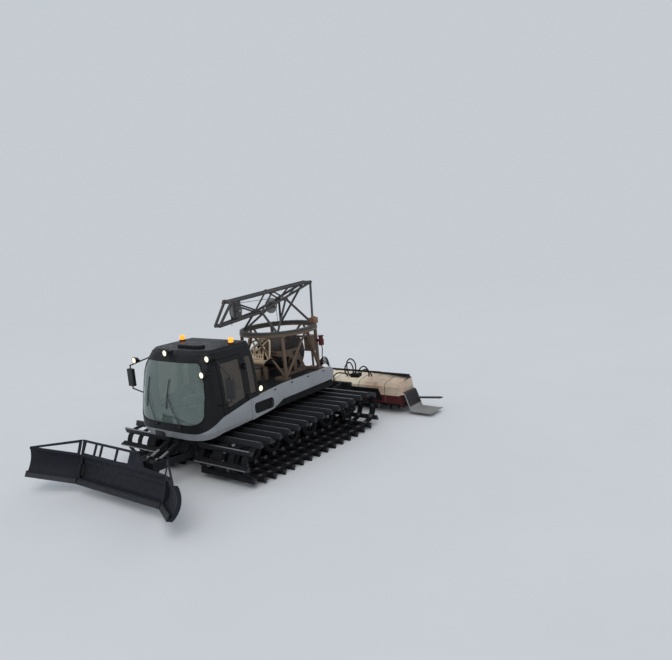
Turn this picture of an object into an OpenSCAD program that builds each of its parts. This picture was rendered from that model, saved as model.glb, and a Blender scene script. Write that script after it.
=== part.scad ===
// Winch snow groomer: a tracked machine with a front blade, a cable winch and a rear tiller.
// Millimetres. +X is the machine's left, +Y its rear, +Z up. The crossbars' tips stand on z = 0.

/* [Tracks] */
// Length of a crossbar, across the track
track_w = 1600; // [1300:10:1700]
// Clear width between the two tracks
track_gap = 1000; // [980:10:1200]
// Crossbars in one track loop
cleat_count = 34; // [30:1:36]
// Height of a crossbar over its belts
cleat_h = 120; // [90:1:140]
// Width of a crossbar's foot along the track
cleat_foot = 100; // [70:1:120]
// Thickness of the rubber belts
belt_t = 14; // [10:1:20]
// Radius of the road wheels and of the front idlers
wheel_r = 300; // [270:1:310]
// Radius of the drive sprockets where the belts lie
sprocket_r = 330; // [300:1:345]
// Distance from one road wheel to the next
wheel_pitch = 677; // [640:1:690]
// Width of a tyre
tyre_w = 220; // [180:1:260]
// Place of the idlers' axle along the machine
idler_y = -1900; // [-2000:1:-1890]
// Height of the idlers' axle over the road wheels' axles
idler_lift = 56; // [20:1:80]
// Place of the sprockets' axle along the machine
sprocket_y = 2140; // [2100:1:2200]

/* [Body] */
// Width of the cab and of the silver belt panels
body_w = 2300; // [2100:10:2400]
// Thickness of the silver belt panels
belt_panel_t = 60; // [40:1:80]
// Height of the cab floor's underside
floor_z = 1100; // [1080:5:1140]
// Height of the cab roof
roof_z = 2830; // [2750:5:2900]
// Thickness of the cab's shell and of its doors
shell_t = 45; // [30:1:60]
// Thickness of the window panes
pane_t = 8; // [6:1:12]
// Place of the cab's rear wall
cab_rear_y = -780; // [-820:5:-740]
// Place of the doors' rear edge
door_rear_y = -1130; // [-1150:5:-1100]
// Place of the doors' front edge
door_front_y = -1860; // [-1880:5:-1800]
// Place of the rear end of the body
body_rear_y = 1960; // [1900:10:2000]

/* [Winch] */
// Radius of the slewing ring
ring_r = 1000; // [900:10:1050]
// Height of the slewing ring's upper face
ring_z = 2700; // [2650:10:2750]
// Place of the slewing axis along the machine
winch_y = 1300; // [1250:10:1350]
// Radius of the winch drum's flanges
drum_r = 470; // [400:10:500]
// Width of the winch drum between its flanges
drum_w = 760; // [600:10:820]
// Radius of the head sheave
sheave_r = 170; // [140:5:190]
// Radius of the winch cable
cable_r = 6; // [5:0.5:8]

/* [Blade] */
// Width of the blade between its wings
blade_w = 2880; // [2600:10:3000]
// Width of a wing along its plate
wing_w = 1180; // [1000:10:1250]
// Height of the concave plate
blade_h = 620; // [560:10:680]
// Height of the window rail over the plate
rail_h = 330; // [260:10:360]
// Depth of the plate's hollow
blade_sag = 130; // [90:5:150]
// Thickness of the blade's plate
blade_t = 22; // [16:1:30]
// Clearance under the raised blade
blade_z = 225; // [150:5:300]
// Place of the cutting edge along the machine
blade_y = -4000; // [-4050:5:-3950]
// Lean of the blade to the rear
blade_lean = 20; // [15:0.5:24]
// Angle by which each wing is folded forward
wing_fold = 32; // [20:1:40]

/* [Tiller] */
// Width of the tiller's housing
tiller_w = 4300; // [4000:10:4500]
// Radius of the tiller's shaft at its tooth tips
tiller_r = 190; // [170:5:200]
// Place of the tiller's shaft along the machine
tiller_y = 3720; // [3700:10:3760]
// Height of the tiller's shaft
tiller_z = 250; // [240:1:300]
// Reach of a side finisher beyond the housing
side_reach = 860; // [600:10:900]

/* [Hidden] */

// Clearance of a piece at its seat, and of a pin in its bore
seat = 0.3;
pin_gap = 0.05;
// Least gap between pieces that move past each other
gap = 8;

silver = "#9a9fa4";
dark = "#2b2d30";
black = "#151618";
rubber = "#1b1b1c";
steel = "#6f7378";
glass = "#20393c";

wheel_z = cleat_h + belt_t + wheel_r;
idler_z = wheel_z + idler_lift;
sprocket_z = cleat_h + belt_t + sprocket_r + idler_lift;
wheel_ys = [for (i = [0 : 4]) idler_y + 670 + i * wheel_pitch];
tub_x = track_gap / 2 - 20;
tub_top = 1000;

// Helpers: profiles given in the Y-Z plane or the X-Z plane, and straight bars
module along_x(x0, x1) {
    translate([x0, 0, 0]) rotate([90, 0, 90]) linear_extrude(x1 - x0) children();
}
module along_y(y0, y1) {
    translate([0, y1, 0]) rotate([90, 0, 0]) linear_extrude(y1 - y0) children();
}
module both_sides() {
    children();
    mirror([1, 0, 0]) children();
}
module box(lo, hi) {
    translate(lo) cube(hi - lo);
}
module x_cylinder(x0, x1, r, y = 0, z = 0) {
    translate([x0, y, z]) rotate([0, 90, 0]) cylinder(r = r, h = x1 - x0, $fn = 48);
}
module bar(a, b, r, sides = 8) {
    d = b - a;
    translate(a)
        rotate([0, acos(d.z / norm(d)), atan2(d.y, d.x)])
            cylinder(r = r, h = norm(d), $fn = sides);
}
module struts(list, r) {
    for (s = list) bar(s[0], s[1], r);
}
module rounded(w, h, r) {
    hull() for (x = [r, w - r], y = [r, h - r]) translate([x, y]) circle(r, $fn = 24);
}

// Track loop: circles that the belts run round, counter-clockwise: y, z, radius at the belts' back
loop = [
    [sprocket_y, sprocket_z, sprocket_r + belt_t],
    [idler_y, idler_z, wheel_r + belt_t],
    [wheel_ys[0], wheel_z, wheel_r + belt_t],
    [wheel_ys[4], wheel_z, wheel_r + belt_t]
];
function next(i) = (i + 1) % len(loop);
function prev(i) = (i + len(loop) - 1) % len(loop);
// Direction of the common tangent's outward normal from circle i to the next one
function tangent(i) =
    let (d = [loop[next(i)].x - loop[i].x, loop[next(i)].y - loop[i].y])
    let (a = atan2(d.y, d.x) - 90 + asin((loop[i].z - loop[next(i)].z) / norm(d)))
    (a + 720) % 360;
function arc_of(i) = let (s = (tangent(i) - tangent(prev(i)) + 720) % 360) s;
function span_of(i) =
    let (d = [loop[next(i)].x - loop[i].x, loop[next(i)].y - loop[i].y])
    sqrt(d * d - pow(loop[i].z - loop[next(i)].z, 2));
function arc_len(i) = arc_of(i) * PI / 180 * loop[i].z;
function upto(i) = i < 0 ? 0 : arc_len(i) + span_of(i) + upto(i - 1);
loop_len = upto(len(loop) - 1);
cleat_pitch = loop_len / cleat_count;
// Place and outward angle on the belts' back at arc length s from the sprocket's lower tangent
function at_s(s, i = 0) =
    let (rest = s - upto(i - 1))
    rest > arc_len(i) + span_of(i) && i < len(loop) - 1 ? at_s(s, i + 1) :
    rest <= arc_len(i)
        ? let (a = tangent(prev(i)) + rest / loop[i].z * 180 / PI)
          [loop[i].x + loop[i].z * cos(a), loop[i].y + loop[i].z * sin(a), a]
        : let (a = tangent(i), t = rest - arc_len(i))
          [loop[i].x + loop[i].z * cos(a) - t * sin(a),
           loop[i].y + loop[i].z * sin(a) + t * cos(a), a];
// Arc length at the sprocket's rearmost point, where one crossbar is centred
rear_s = ((360 - tangent(len(loop) - 1)) % 360) * PI / 180 * loop[0].z;

// The belts' outline in straight steps that touch the circles from outside
arc_step = 12;
function belt_outline(inset) = [
    for (i = [0 : len(loop) - 1], k = [0 : ceil(arc_of(i) / arc_step)])
        let (n = ceil(arc_of(i) / arc_step), a = tangent(prev(i)) + arc_of(i) * k / n)
        let (r = (loop[i].z - inset) / cos(arc_of(i) / n / 2))
        [loop[i].x + r * cos(a), loop[i].y + r * sin(a)]
];

// Belts of one track: centre across the track from its inner end, width
belts = [[110, 170], [610, 300], [1040, 150], [1430, 170]];

module cleat_profile() {
    foot = cleat_foot / 2;
    polygon([[-foot, -3], [foot, -3], [foot, 22], [11, cleat_h], [-11, cleat_h], [-foot, 22]]);
}
module track() {
    x0 = track_gap / 2;
    color(rubber)
        for (b = belts)
            along_x(x0 + b[0] - b[1] / 2, x0 + b[0] + b[1] / 2)
                difference() {
                    polygon(belt_outline(0));
                    polygon(belt_outline(belt_t));
                }
    color(steel)
        for (k = [0 : cleat_count - 1]) {
            p = at_s((rear_s + k * cleat_pitch) % loop_len);
            translate([0, p[0], p[1]])
                rotate([p[2] - 90, 0, 0])
                    along_x(x0, x0 + track_w) cleat_profile();
        }
}

// Wheels: idler and road wheels of one side, on the second belt
wheel_x = track_gap / 2 + belts[1][0];
rim_r = wheel_r * 0.62;
hub_r = 70;
axle_r = 38;
wheels = concat([[idler_y, idler_z]], [for (y = wheel_ys) [y, wheel_z]]);

module tyres() {
    color(rubber)
        for (w = wheels)
            translate([wheel_x, w[0], w[1]]) rotate([0, 90, 0])
                difference() {
                    hull() {
                        cylinder(r = wheel_r - seat, h = tyre_w * 0.7, center = true, $fn = 28);
                        cylinder(r = wheel_r - 40, h = tyre_w, center = true, $fn = 28);
                    }
                    cylinder(r = rim_r + seat, h = tyre_w + 2, center = true, $fn = 64);
                }
}
module rims() {
    half = tyre_w / 2;
    color(steel)
        for (w = wheels)
            translate([wheel_x, w[0], w[1]]) rotate([0, 90, 0])
                difference() {
                    union() {
                        difference() {
                            cylinder(r = rim_r, h = tyre_w * 0.84, center = true, $fn = 64);
                            cylinder(r = rim_r - 14, h = tyre_w, center = true, $fn = 64);
                        }
                        cylinder(r = rim_r - 5, h = 16, center = true, $fn = 64);
                        translate([0, 0, -half]) cylinder(r = hub_r, h = tyre_w, $fn = 48);
                    }
                    translate([0, 0, -half - 1])
                        cylinder(r = axle_r + seat, h = tyre_w - 39, $fn = 48);
                    for (a = [0 : 60 : 300])
                        rotate(a) translate([(hub_r + rim_r) / 2, 0, -20])
                            cylinder(r = 26, h = 40, $fn = 24);
                }
}
module suspension() {
    inner = wheel_x - tyre_w / 2;
    color(dark) {
        for (w = wheels) {
            x_cylinder(tub_x, inner - 2, 62, w[0], w[1]);
            x_cylinder(tub_x, wheel_x + tyre_w / 2 - 41, axle_r, w[0], w[1]);
        }
        for (w = [for (i = [1 : 5]) wheels[i]])
            along_x(tub_x, tub_x + 46)
                translate([w[0], w[1]])
                    polygon([[-70, -70], [70, -70], [150, 210], [30, 210]]);
        along_x(tub_x, tub_x + 60)
            translate([idler_y, idler_z])
                polygon([[-75, -75], [75, -75], [330, 60], [330, 190], [-75, 90]]);
    }
}

// Drive sprocket: a drum with two toothed discs in the gaps between the belts
tooth_count = 7;
disc_xs = [for (i = [0, 1])
    (belts[i][0] + belts[i][1] / 2 + belts[i + 1][0] - belts[i + 1][1] / 2) / 2];
module sprocket_disc() {
    base = sprocket_r - 20;
    union() {
        circle(base, $fn = 96);
        for (k = [0 : tooth_count - 1])
            rotate((k + 0.5) * 360 / tooth_count)
                polygon([[base - 30, -60], [base + 20, -50], [sprocket_r + 42, -22],
                         [sprocket_r + 42, 22], [base + 20, 50], [base - 30, 60]]);
    }
}
module sprocket() {
    x0 = track_gap / 2;
    color(dark)
        translate([0, sprocket_y, sprocket_z]) {
            x_cylinder(tub_x, x0 + disc_xs[0] - 20, 120);
            x_cylinder(x0 + disc_xs[0] - 20, x0 + disc_xs[1] + 20, 215);
            x_cylinder(x0 + disc_xs[0], x0 + disc_xs[1] + 50, 90);
            for (x = disc_xs)
                difference() {
                    along_x(x0 + x - 20, x0 + x + 20) sprocket_disc();
                    for (k = [0 : tooth_count - 1])
                        rotate([k * 360 / tooth_count, 0, 0])
                            translate([x0 + x - 21, 262, 0]) rotate([0, 90, 0])
                                cylinder(r = 26, h = 42, $fn = 24);
                }
        }
}

// Lugs that carry a cross pin: two plates beside an arm, on a face at y = face
pin_r = 30;
arm_half = 32;
lug_t = 30;
lug_x = 330;
module lug_pair(x, face, y, z, rise) {
    dir = y > face ? 1 : -1;
    for (x0 = [x - arm_half - lug_t, x + arm_half])
        along_x(x0, x0 + lug_t)
            polygon([[face - dir * 5, z - 70], [y + dir * 55, z - 50],
                     [y + dir * 55, z + 50], [face - dir * 5, z + rise]]);
    x_cylinder(x - arm_half - lug_t - 10, x + arm_half + lug_t + 10, pin_r, y, z);
}

// Chassis: an open tub between the tracks, with brackets for the tools at both ends
tub_floor = 360;
tub_front = -2180;
tub_rear = 2420;
tub_wall = 40;
engine_y = [-620, 640];
engine_half = 330;
engine_top = 1330;
engine_gap = 60;
lift_y = -2320;
lift_z = 560;
hitch_y = 2560;
hitch_z = 640;
module tub_profile() {
    polygon([[tub_front, tub_top], [tub_front, tub_floor + 260], [tub_front + 240, tub_floor],
             [tub_rear - 240, tub_floor], [tub_rear, tub_floor + 260], [tub_rear, tub_top]]);
}
module engine_bay(z0, z1) {
    box([-tub_x + tub_wall, engine_y[0] - engine_gap, z0],
        [tub_x - tub_wall, engine_y[1] + engine_gap, z1]);
}
module chassis() {
    color(dark) {
        difference() {
            along_x(-tub_x, tub_x) tub_profile();
            engine_bay(tub_floor + tub_wall, tub_top + 1);
        }
        for (y = [-1900, -1000])
            both_sides() box([240, y - 60, tub_top - 1], [400, y + 60, floor_z]);
        both_sides() {
            lug_pair(lug_x, tub_front, lift_y, lift_z, 200);
            lug_pair(lug_x, tub_rear, hitch_y, hitch_z, 160);
            lug_pair(cyl_x, tub_front, front_cyl[0].x, front_cyl[0].y, 60);
            for (x0 = [cyl_x - arm_half - lug_t, cyl_x + arm_half])
                along_x(x0, x0 + lug_t)
                    translate(rear_cyl[0])
                        polygon([[-90, tub_top - rear_cyl[0].y - 1], [45, tub_top - rear_cyl[0].y - 1],
                                 [45, 50], [-45, 50]]);
            x_cylinder(cyl_x - 72, cyl_x + 72, pin_r, rear_cyl[0].x, rear_cyl[0].y);
        }
        tow_hitch();
    }
}
// Tow hitch behind the tub: a tongue with an upright pin bore, open from above
tow_z = 430;
tow_y = tub_rear + 70;
tow_bore = 26;
tow_half = 90;
tow_t = 60;
module tow_hitch() {
    translate([0, 0, tow_z - tow_t / 2])
        difference() {
            box([-tow_half, tub_rear - 270, 0], [tow_half, tow_y + tow_half, tow_t]);
            translate([0, tow_y, -1]) cylinder(r = tow_bore, h = tow_t + 2, $fn = 48);
        }
}
module engine_block() {
    color("#55585c")
        box([-engine_half, engine_y[0], tub_floor + tub_wall],
            [engine_half, engine_y[1], engine_top]);
}

// Cab: sections of its outer form: height, half width, place of the side, place of the nose,
// and power of the nose's plan curve, which is an ellipse at 1 and squarer below it
half_w = body_w / 2;
chin_z = 960;
cab_sections = [
    [chin_z, half_w - 50, -1800, -2430, 0.5],
    [1140, half_w - 10, -1850, -2520, 0.5],
    [1310, half_w - 4, -1880, -2520, 0.53],
    [1500, half_w, -1880, -2512, 0.57],
    [1725, half_w - 4, -1878, -2492, 0.62],
    [1950, half_w - 20, -1870, -2462, 0.65],
    [2150, half_w - 40, -1862, -2427, 0.66],
    [2350, half_w - 70, -1850, -2378, 0.66],
    [2500, half_w - 103, -1836, -2316, 0.66],
    [2640, half_w - 145, -1820, -2232, 0.66],
    [roof_z - 100, half_w - 178, -1803, -2160, 0.66],
    [roof_z - 40, half_w - 207, -1775, -2095, 0.66],
    [roof_z, half_w - 240, -1740, -2040, 0.66]
];
nose_steps = 18;
// Plan outline of a section: straight sides and a full, rounded nose
function plan(w, side, nose, rear, power) = concat(
    [for (k = [0 : nose_steps])
        let (a = -90 + 180 * k / nose_steps)
        [w * sign(sin(a)) * pow(abs(sin(a)), power),
         side - (side - nose) * pow(abs(cos(a)), power)]],
    [[w, rear], [-w, rear]]
);
// The outer form, moved inwards by an inset; an inner form runs out through the bottom
module cab_form(inset) {
    hull()
        for (s = cab_sections) {
            z = s[0] == roof_z ? s[0] - inset - 1 : s[0] == chin_z && inset > 0 ? s[0] - 5 : s[0];
            translate([0, 0, z])
                linear_extrude(1)
                    polygon(plan(s[1] - inset, s[2] + inset * 0.3, s[3] + inset,
                                 cab_rear_y - inset, s[4]));
        }
}
module cab_skin(from, to) {
    difference() {
        cab_form(from);
        cab_form(to);
    }
}

// Silver belt: its upper edge climbs from the nose to the rear, its chin hangs in front of the tracks
belt_nose_top = 1140;
belt_corner_top = 1390;
belt_seam_top = 1560;
belt_rear_top = 1650;
belt_low = 1085;
belt_corner_low = 1050;
belt_rear_low = 1320;
belt_front_y = -2700;
belt_nose_y = -2450;
belt_corner_y = -1900;
belt_seam_y = -1050;
belt_level_y = 100;
// Points of the upper edge as y and z, from the nose to the rear
belt_edge = [
    [belt_front_y, belt_nose_top], [belt_nose_y, belt_nose_top], [belt_corner_y, belt_corner_top],
    [belt_seam_y, belt_seam_top], [belt_level_y, belt_rear_top], [2 * body_rear_y, belt_rear_top]
];
function mix(a, b, t) = a + (b - a) * t;
function belt_top(y) = lookup(y, belt_edge);
module belt_zone(grow = 0) {
    ys = [belt_front_y, belt_nose_y, belt_corner_y, belt_seam_y, cab_rear_y + 100];
    polygon(concat([for (y = ys) [y, belt_top(y) + grow]],
                   [[cab_rear_y + 100, floor_z - 20], [belt_seam_y, belt_low],
                    [belt_corner_y, belt_corner_low], [belt_nose_y, chin_z], [belt_front_y, chin_z]]));
}
module belt_front() {
    color(silver)
        intersection() {
            cab_skin(0, belt_panel_t);
            along_x(-half_w - 50, half_w + 50)
                intersection() {
                    belt_zone();
                    translate([belt_front_y, chin_z - 10])
                        square([belt_seam_y - 3 - belt_front_y, 1000]);
                }
        }
}

door_top = 2600;
door_sill = 40;
module door_outline(grow = 0, front = 0) {
    y0 = door_front_y - front;
    y1 = door_rear_y + grow;
    polygon([[y0, belt_top(y0) + door_sill - grow], [y1, belt_top(y1) + door_sill - grow],
             [y1, door_top + grow], [y0 + 60, door_top + grow], [y0, door_top - 120]]);
}
frame_w = 75;
module door_window(trim = 0) {
    y0 = door_front_y + frame_w + trim;
    y1 = door_rear_y - frame_w - trim;
    low = door_sill + frame_w + trim;
    polygon([[y0, belt_top(y0) + low], [y1, belt_top(y1) + low], [y1, door_top - frame_w - trim],
             [y0 + 45, door_top - frame_w - trim], [y0, door_top - 190]]);
}
screen_back_y = -1960;
screen_side = 110;
screen_low = 1310;
screen_high = 2620;
module screen_opening(trim = 0) {
    w = half_w - screen_side - trim;
    side = [[w - 330, screen_low + trim], [w - 130, screen_low + 40], [w - 40, screen_low + 100],
            [w, screen_low + 190], [w, 1900], [w - 30, 2200], [w - 100, 2450], [w - 150, 2560],
            [w - 230, screen_high - trim]];
    polygon(concat(side, [for (i = [len(side) - 1 : -1 : 0]) [-side[i].x, side[i].y]]));
}
quarter_y = [door_rear_y + 90, cab_rear_y - 70];
quarter_low = 1680;
module quarter_window(trim = 0) {
    translate([quarter_y[0] + trim, quarter_low + trim])
        square([quarter_y[1] - quarter_y[0] - 2 * trim, door_top - frame_w - quarter_low - 2 * trim]);
}
rear_half = 700;
rear_low = 1760;
module rear_window(trim = 0) {
    translate([-rear_half + trim, rear_low + trim])
        square([2 * (rear_half - trim), door_top - frame_w - rear_low - 2 * trim]);
}

// Doors swing on upright pins at their rear edges
hinge_x = half_w + 16;
hinge_y = door_rear_y + gap / 2;
hinge_zs = [belt_top(hinge_y) + 60, 2300];
hinge_r = 15;
hinge_pin = 8;
module hinge_arm(z, h, y0, y1) {
    translate([0, 0, z]) {
        box([half_w - 160, y0, 0], [hinge_x, y1, h]);
        translate([hinge_x, hinge_y, 0]) cylinder(r = hinge_r, h = h, $fn = 32);
    }
}
module door_hinge_half() {
    for (z = hinge_zs) {
        hinge_arm(z - 30 - seat, 30, hinge_y, hinge_y + 40);
        hinge_arm(z + 60 + seat, 30, hinge_y, hinge_y + 40);
        translate([hinge_x, hinge_y, z - 25]) cylinder(r = hinge_pin, h = 110, $fn = 32);
    }
}
// Roof and corner lamps: x, y and z of the back plate, reach of its bracket to the shell
shell_lamps = [
    [-90, -2170, roof_z - 30, 0], [half_w - 110, -1990, roof_z - 140, 110],
    [half_w - 110, -2180, 2390, 0]
];
lamp_arm = 25;
module lamp_bracket(l) {
    box([l.x - lamp_arm, l.y, l.z - lamp_arm], [l.x + lamp_arm, l.y + 220, l.z + lamp_arm]);
    box([l.x - lamp_arm - l[3], l.y + 120, l.z - lamp_arm],
        [l.x + lamp_arm, l.y + 220, l.z + lamp_arm]);
}
// Low long pod on the roof
pod_at = [half_w * 0.13, -1720];
pod_half = 300;
pod_h = 75;
module roof_pod() {
    hull()
        for (dx = [-pod_half, pod_half])
            translate([pod_at.x + dx, pod_at.y, roof_z - 5]) {
                cylinder(r = 105, h = pod_h - 20, $fn = 24);
                cylinder(r = 80, h = pod_h, $fn = 24);
            }
}
module cab_shell() {
    color(black)
        difference() {
            union() {
                intersection() {
                    cab_form(0);
                    box([-2000, -3000, floor_z], [2000, 0, roof_z + 10]);
                }
                for (l = shell_lamps) lamp_bracket(l);
                roof_pod();
                both_sides() door_hinge_half();
            }
            difference() {
                cab_form(shell_t);
                difference() {
                    along_x(-half_w - 50, half_w + 50) belt_zone(60);
                    cab_form(belt_panel_t + shell_t);
                }
                box([-2000, -3000, floor_z], [2000, 0, floor_z + cab_floor_t]);
            }
            difference() {
                along_x(-half_w - 50, half_w + 50) belt_zone(seat);
                cab_form(belt_panel_t + seat);
            }
            along_y(-3000, screen_back_y) screen_opening();
            both_sides() along_x(half_w - 400, half_w) door_outline(gap, 18);
            along_x(-half_w - 100, half_w + 100) quarter_window();
            along_y(cab_rear_y - 200, cab_rear_y + 100) rear_window();
        }
}
module windscreen() {
    color(glass)
        intersection() {
            cab_skin(10, 10 + pane_t);
            along_y(-3000, screen_back_y - seat) screen_opening(seat);
        }
}
module cab_glass() {
    color(glass) {
        intersection() {
            cab_skin(10, 10 + pane_t);
            along_x(-half_w - 100, half_w + 100) quarter_window(seat);
        }
        along_y(cab_rear_y - 30, cab_rear_y - 30 + pane_t) rear_window(seat);
    }
}
module door() {
    color(black)
        difference() {
            union() {
                intersection() {
                    cab_form(0);
                    along_x(half_w - 400, half_w + 100) door_outline(0);
                }
                for (z = hinge_zs) hinge_arm(z, 60, hinge_y - 40, hinge_y);
            }
            cab_form(shell_t);
            along_x(half_w - 400, half_w) door_window();
            for (z = hinge_zs)
                translate([hinge_x, hinge_y, z - 1])
                    cylinder(r = hinge_pin + pin_gap, h = 62, $fn = 32);
        }
}
module door_glass() {
    color(glass)
        intersection() {
            cab_skin(10, 10 + pane_t);
            along_x(half_w - 400, half_w + 100) door_window(seat);
        }
}

// Side panels: silver belts behind the cab, each with a grille opening
vent_y = [-950, -340];
vent_z = [1195, 1430];
panel_x = half_w - belt_panel_t;
module side_profile() {
    polygon([[belt_seam_y + 3, belt_low], [vent_y[1], 1150], [0, 1290],
             [body_rear_y - 60, belt_rear_low], [body_rear_y, belt_rear_low + 60],
             [body_rear_y, belt_rear_top - 90], [body_rear_y - 90, belt_rear_top],
             [belt_level_y, belt_rear_top], [belt_seam_y + 3, belt_top(belt_seam_y + 3)]]);
}
module vent_opening(trim = 0) {
    translate([vent_y[0] + trim, vent_z[0] + trim])
        rounded(vent_y[1] - vent_y[0] - 2 * trim, vent_z[1] - vent_z[0] - 2 * trim, 55);
}
module side_panel() {
    color(silver)
        difference() {
            along_x(panel_x + seat, half_w) side_profile();
            along_x(panel_x - 1, half_w + 1) vent_opening();
        }
}
module vent_grilles() {
    slats = 5;
    color(black)
        both_sides() {
            along_x(panel_x + seat, panel_x + 8) vent_opening(seat);
            for (i = [1 : slats])
                let (z = mix(vent_z[0], vent_z[1], i / (slats + 1)))
                box([panel_x + 7, vent_y[0] + 12, z - 6], [half_w - 12, vent_y[1] - 12, z + 6]);
        }
}

// Rear body: engine cover and deck that carry the winch
deck_z = 1560;
side_lamp = [half_w - 110, -660, 1710];
module rear_body() {
    color(dark) {
        difference() {
            along_y(cab_rear_y + 40, body_rear_y)
                polygon([[-panel_x, 1120], [-panel_x, deck_z - 60], [-panel_x + 60, deck_z],
                         [panel_x - 60, deck_z], [panel_x, deck_z - 60], [panel_x, 1120],
                         [tub_x, tub_top], [-tub_x, tub_top]]);
            engine_bay(tub_top - 1, engine_top + engine_gap);
        }
        box([side_lamp.x - 60, side_lamp.y - 25, deck_z - 60],
            [side_lamp.x - 40, side_lamp.y + 25, side_lamp.z + 30]);
    }
}
exhaust_r = 70;
exhaust_h = 900;
module exhaust() {
    color(steel)
        translate([300 - half_w, cab_rear_y + 210, deck_z])
            difference() {
                union() {
                    cylinder(r = exhaust_r, h = exhaust_h, $fn = 40);
                    cylinder(r = exhaust_r + 40, h = 60, $fn = 40);
                }
                translate([0, 0, 30]) cylinder(r = exhaust_r - 10, h = exhaust_h, $fn = 40);
            }
}

// Inside of the cab
cab_floor_t = 50;
seat_x = 430;
seat_y = -1290;
seat_half = 240;
seat_base = [180, 170, 300];
seat_profile = [[-260, 0], [230, 0], [330, 640], [250, 660], [150, 130], [-260, 130]];
module seats() {
    color("#3a3d40")
        for (x = [-seat_x, seat_x])
            translate([x, seat_y, floor_z + cab_floor_t]) {
                box([-seat_base.x, -seat_base.y, 0], [seat_base.x, seat_base.y, seat_base.z + 1]);
                translate([0, 0, seat_base.z]) along_x(-seat_half, seat_half) polygon(seat_profile);
            }
}
dash_half = 900;
dash_back_y = -2030;
dash_h = 330;
console_half = 90;
lever_r = 16;
module dashboard() {
    z0 = floor_z + cab_floor_t;
    color(dark) {
        intersection() {
            cab_form(belt_panel_t + shell_t + 6);
            box([-dash_half, -2400, z0], [dash_half, dash_back_y, z0 + dash_h]);
        }
        box([-console_half, dash_back_y - 1, z0], [console_half, door_rear_y - 20, z0 + dash_h]);
        for (x = [-60, 60])
            bar([x, seat_y - 410, z0 + dash_h - 30], [x, seat_y - 440, z0 + dash_h + 190], lever_r);
    }
}

// Mirrors on arms at the front corners
mirror_x = half_w + 420;
mirror_arm = 16;
mirror_w = 190;
mirror_z = [1900, 2310];
post = [mirror_x + mirror_w / 2, -2090];
// Upper arm, and the lamp's bracket that stands on it at the machine's right
arm_in = [half_w - 180, -1830, 2640];
arm_out = [post.x, post.y, mirror_z[1] + 80];
arm_lamp = mix(arm_in, arm_out, 0.67);
lamp_rise = 58;
module mirrors() {
    color(black) {
        both_sides()
            difference() {
                union() {
                    box([mirror_x, post.y - 40, mirror_z[0]],
                        [mirror_x + mirror_w, post.y + 40, mirror_z[1]]);
                    struts([
                        [arm_in, arm_out],
                        [[post.x, post.y, mirror_z[1] + 95], [post.x, post.y, mirror_z[0] - 80]],
                        [[post.x, post.y, mirror_z[0] - 60], [half_w - 60, -1900, 1620]]
                    ], mirror_arm);
                }
                cab_form(-seat);
            }
        box([-arm_lamp.x - 30, arm_lamp.y - 20, arm_lamp.z],
            [-arm_lamp.x + 30, arm_lamp.y + 20, arm_lamp.z + lamp_rise]);
    }
}
// A lamp faces the front; its round back lies against the bracket
module lamp() {
    rotate([90, 0, 0]) {
        cylinder(r = 55, h = 60, $fn = 40);
        translate([0, 0, 50]) cylinder(r = 75, h = 60, $fn = 40);
    }
}
module work_lamps() {
    color("#d8d8d0") {
        for (l = shell_lamps) translate([l.x, l.y, l.z]) lamp();
        translate([-arm_lamp.x, arm_lamp.y - 20, arm_lamp.z + lamp_rise]) lamp();
        translate([side_lamp.x - 40, side_lamp.y, side_lamp.z]) rotate(90) lamp();
    }
}
beacon_x = half_w - 330;
beacon_y = -1150;
module beacons() {
    color("#e08a1e")
        both_sides()
            translate([beacon_x, beacon_y, roof_z]) {
                cylinder(r = 75, h = 40, $fn = 40);
                cylinder(r = 60, h = 140, $fn = 40);
            }
}
// Rack behind the winch, with a box at the machine's left
module rear_rack() {
    x = 310;
    y = body_rear_y + 225;
    color(steel) {
        both_sides() bar([x, y, deck_z - 120], [x, y, 2360], 30);
        bar([-x, y, 2330], [x, y, 2330], 30);
        bar([-x, y, 1960], [x, y, 1960], 24);
        box([-x - 40, body_rear_y, deck_z - 160], [x + 40, y + 40, deck_z - 80]);
    }
    color("#7a2320") box([40, y + 20, 1930], [320, y + 230, 2350]);
}

// Winch: tower of tubes, slewing ring and drum
drum_z = deck_z + drum_r + 60;
cheek_x = drum_w / 2 + 60;
tower_feet = [[760, -700], [760, 560]];
foot_half = 80;
foot_t = 60;
frame_ring_t = 60;
ring_under = ring_z - frame_ring_t;
cheek_t = 30;
module ring_plate(outer, inner, t) {
    difference() {
        cylinder(r = outer, h = t, $fn = 96);
        translate([0, 0, -1]) cylinder(r = inner, h = t + 2, $fn = 96);
    }
}
// Cheek: an A-frame round the drum's bearing, with an arm that carries the rope guide
guide_at = [-600, 620];
module cheek_profile() {
    top = drum_r + 180;
    difference() {
        polygon([[-420, 0], [420, 0], [120, top], [-130, top], [guide_at.x - 40, guide_at.y + 60],
                 [guide_at.x - 40, guide_at.y - 60], [-180, top - 180]]);
        polygon([[-290, 70], [-60, 70], [-60, 330], [-140, 330]]);
        polygon([[290, 70], [60, 70], [60, 330], [140, 330]]);
    }
}
// Slewing ring, and the drum's two cheeks on their rails
module winch_frame() {
    color(steel) {
        translate([0, winch_y, ring_under]) ring_plate(ring_r, ring_r - 120, frame_ring_t);
        both_sides() {
            difference() {
                along_x(cheek_x, cheek_x + cheek_t) translate([winch_y, deck_z]) cheek_profile();
                x_cylinder(0, half_w, 60 + pin_gap, winch_y, drum_z);
            }
            box([cheek_x, winch_y + tower_feet[0].y - foot_half, deck_z],
                [cheek_x + cheek_t, winch_y + tower_feet[1].y + foot_half, deck_z + foot_t]);
            for (f = tower_feet)
                box([cheek_x + cheek_t - 1, winch_y + f.y - foot_half, deck_z],
                    [f.x - foot_half - seat, winch_y + f.y + foot_half, deck_z + foot_t]);
        }
    }
}
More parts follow.
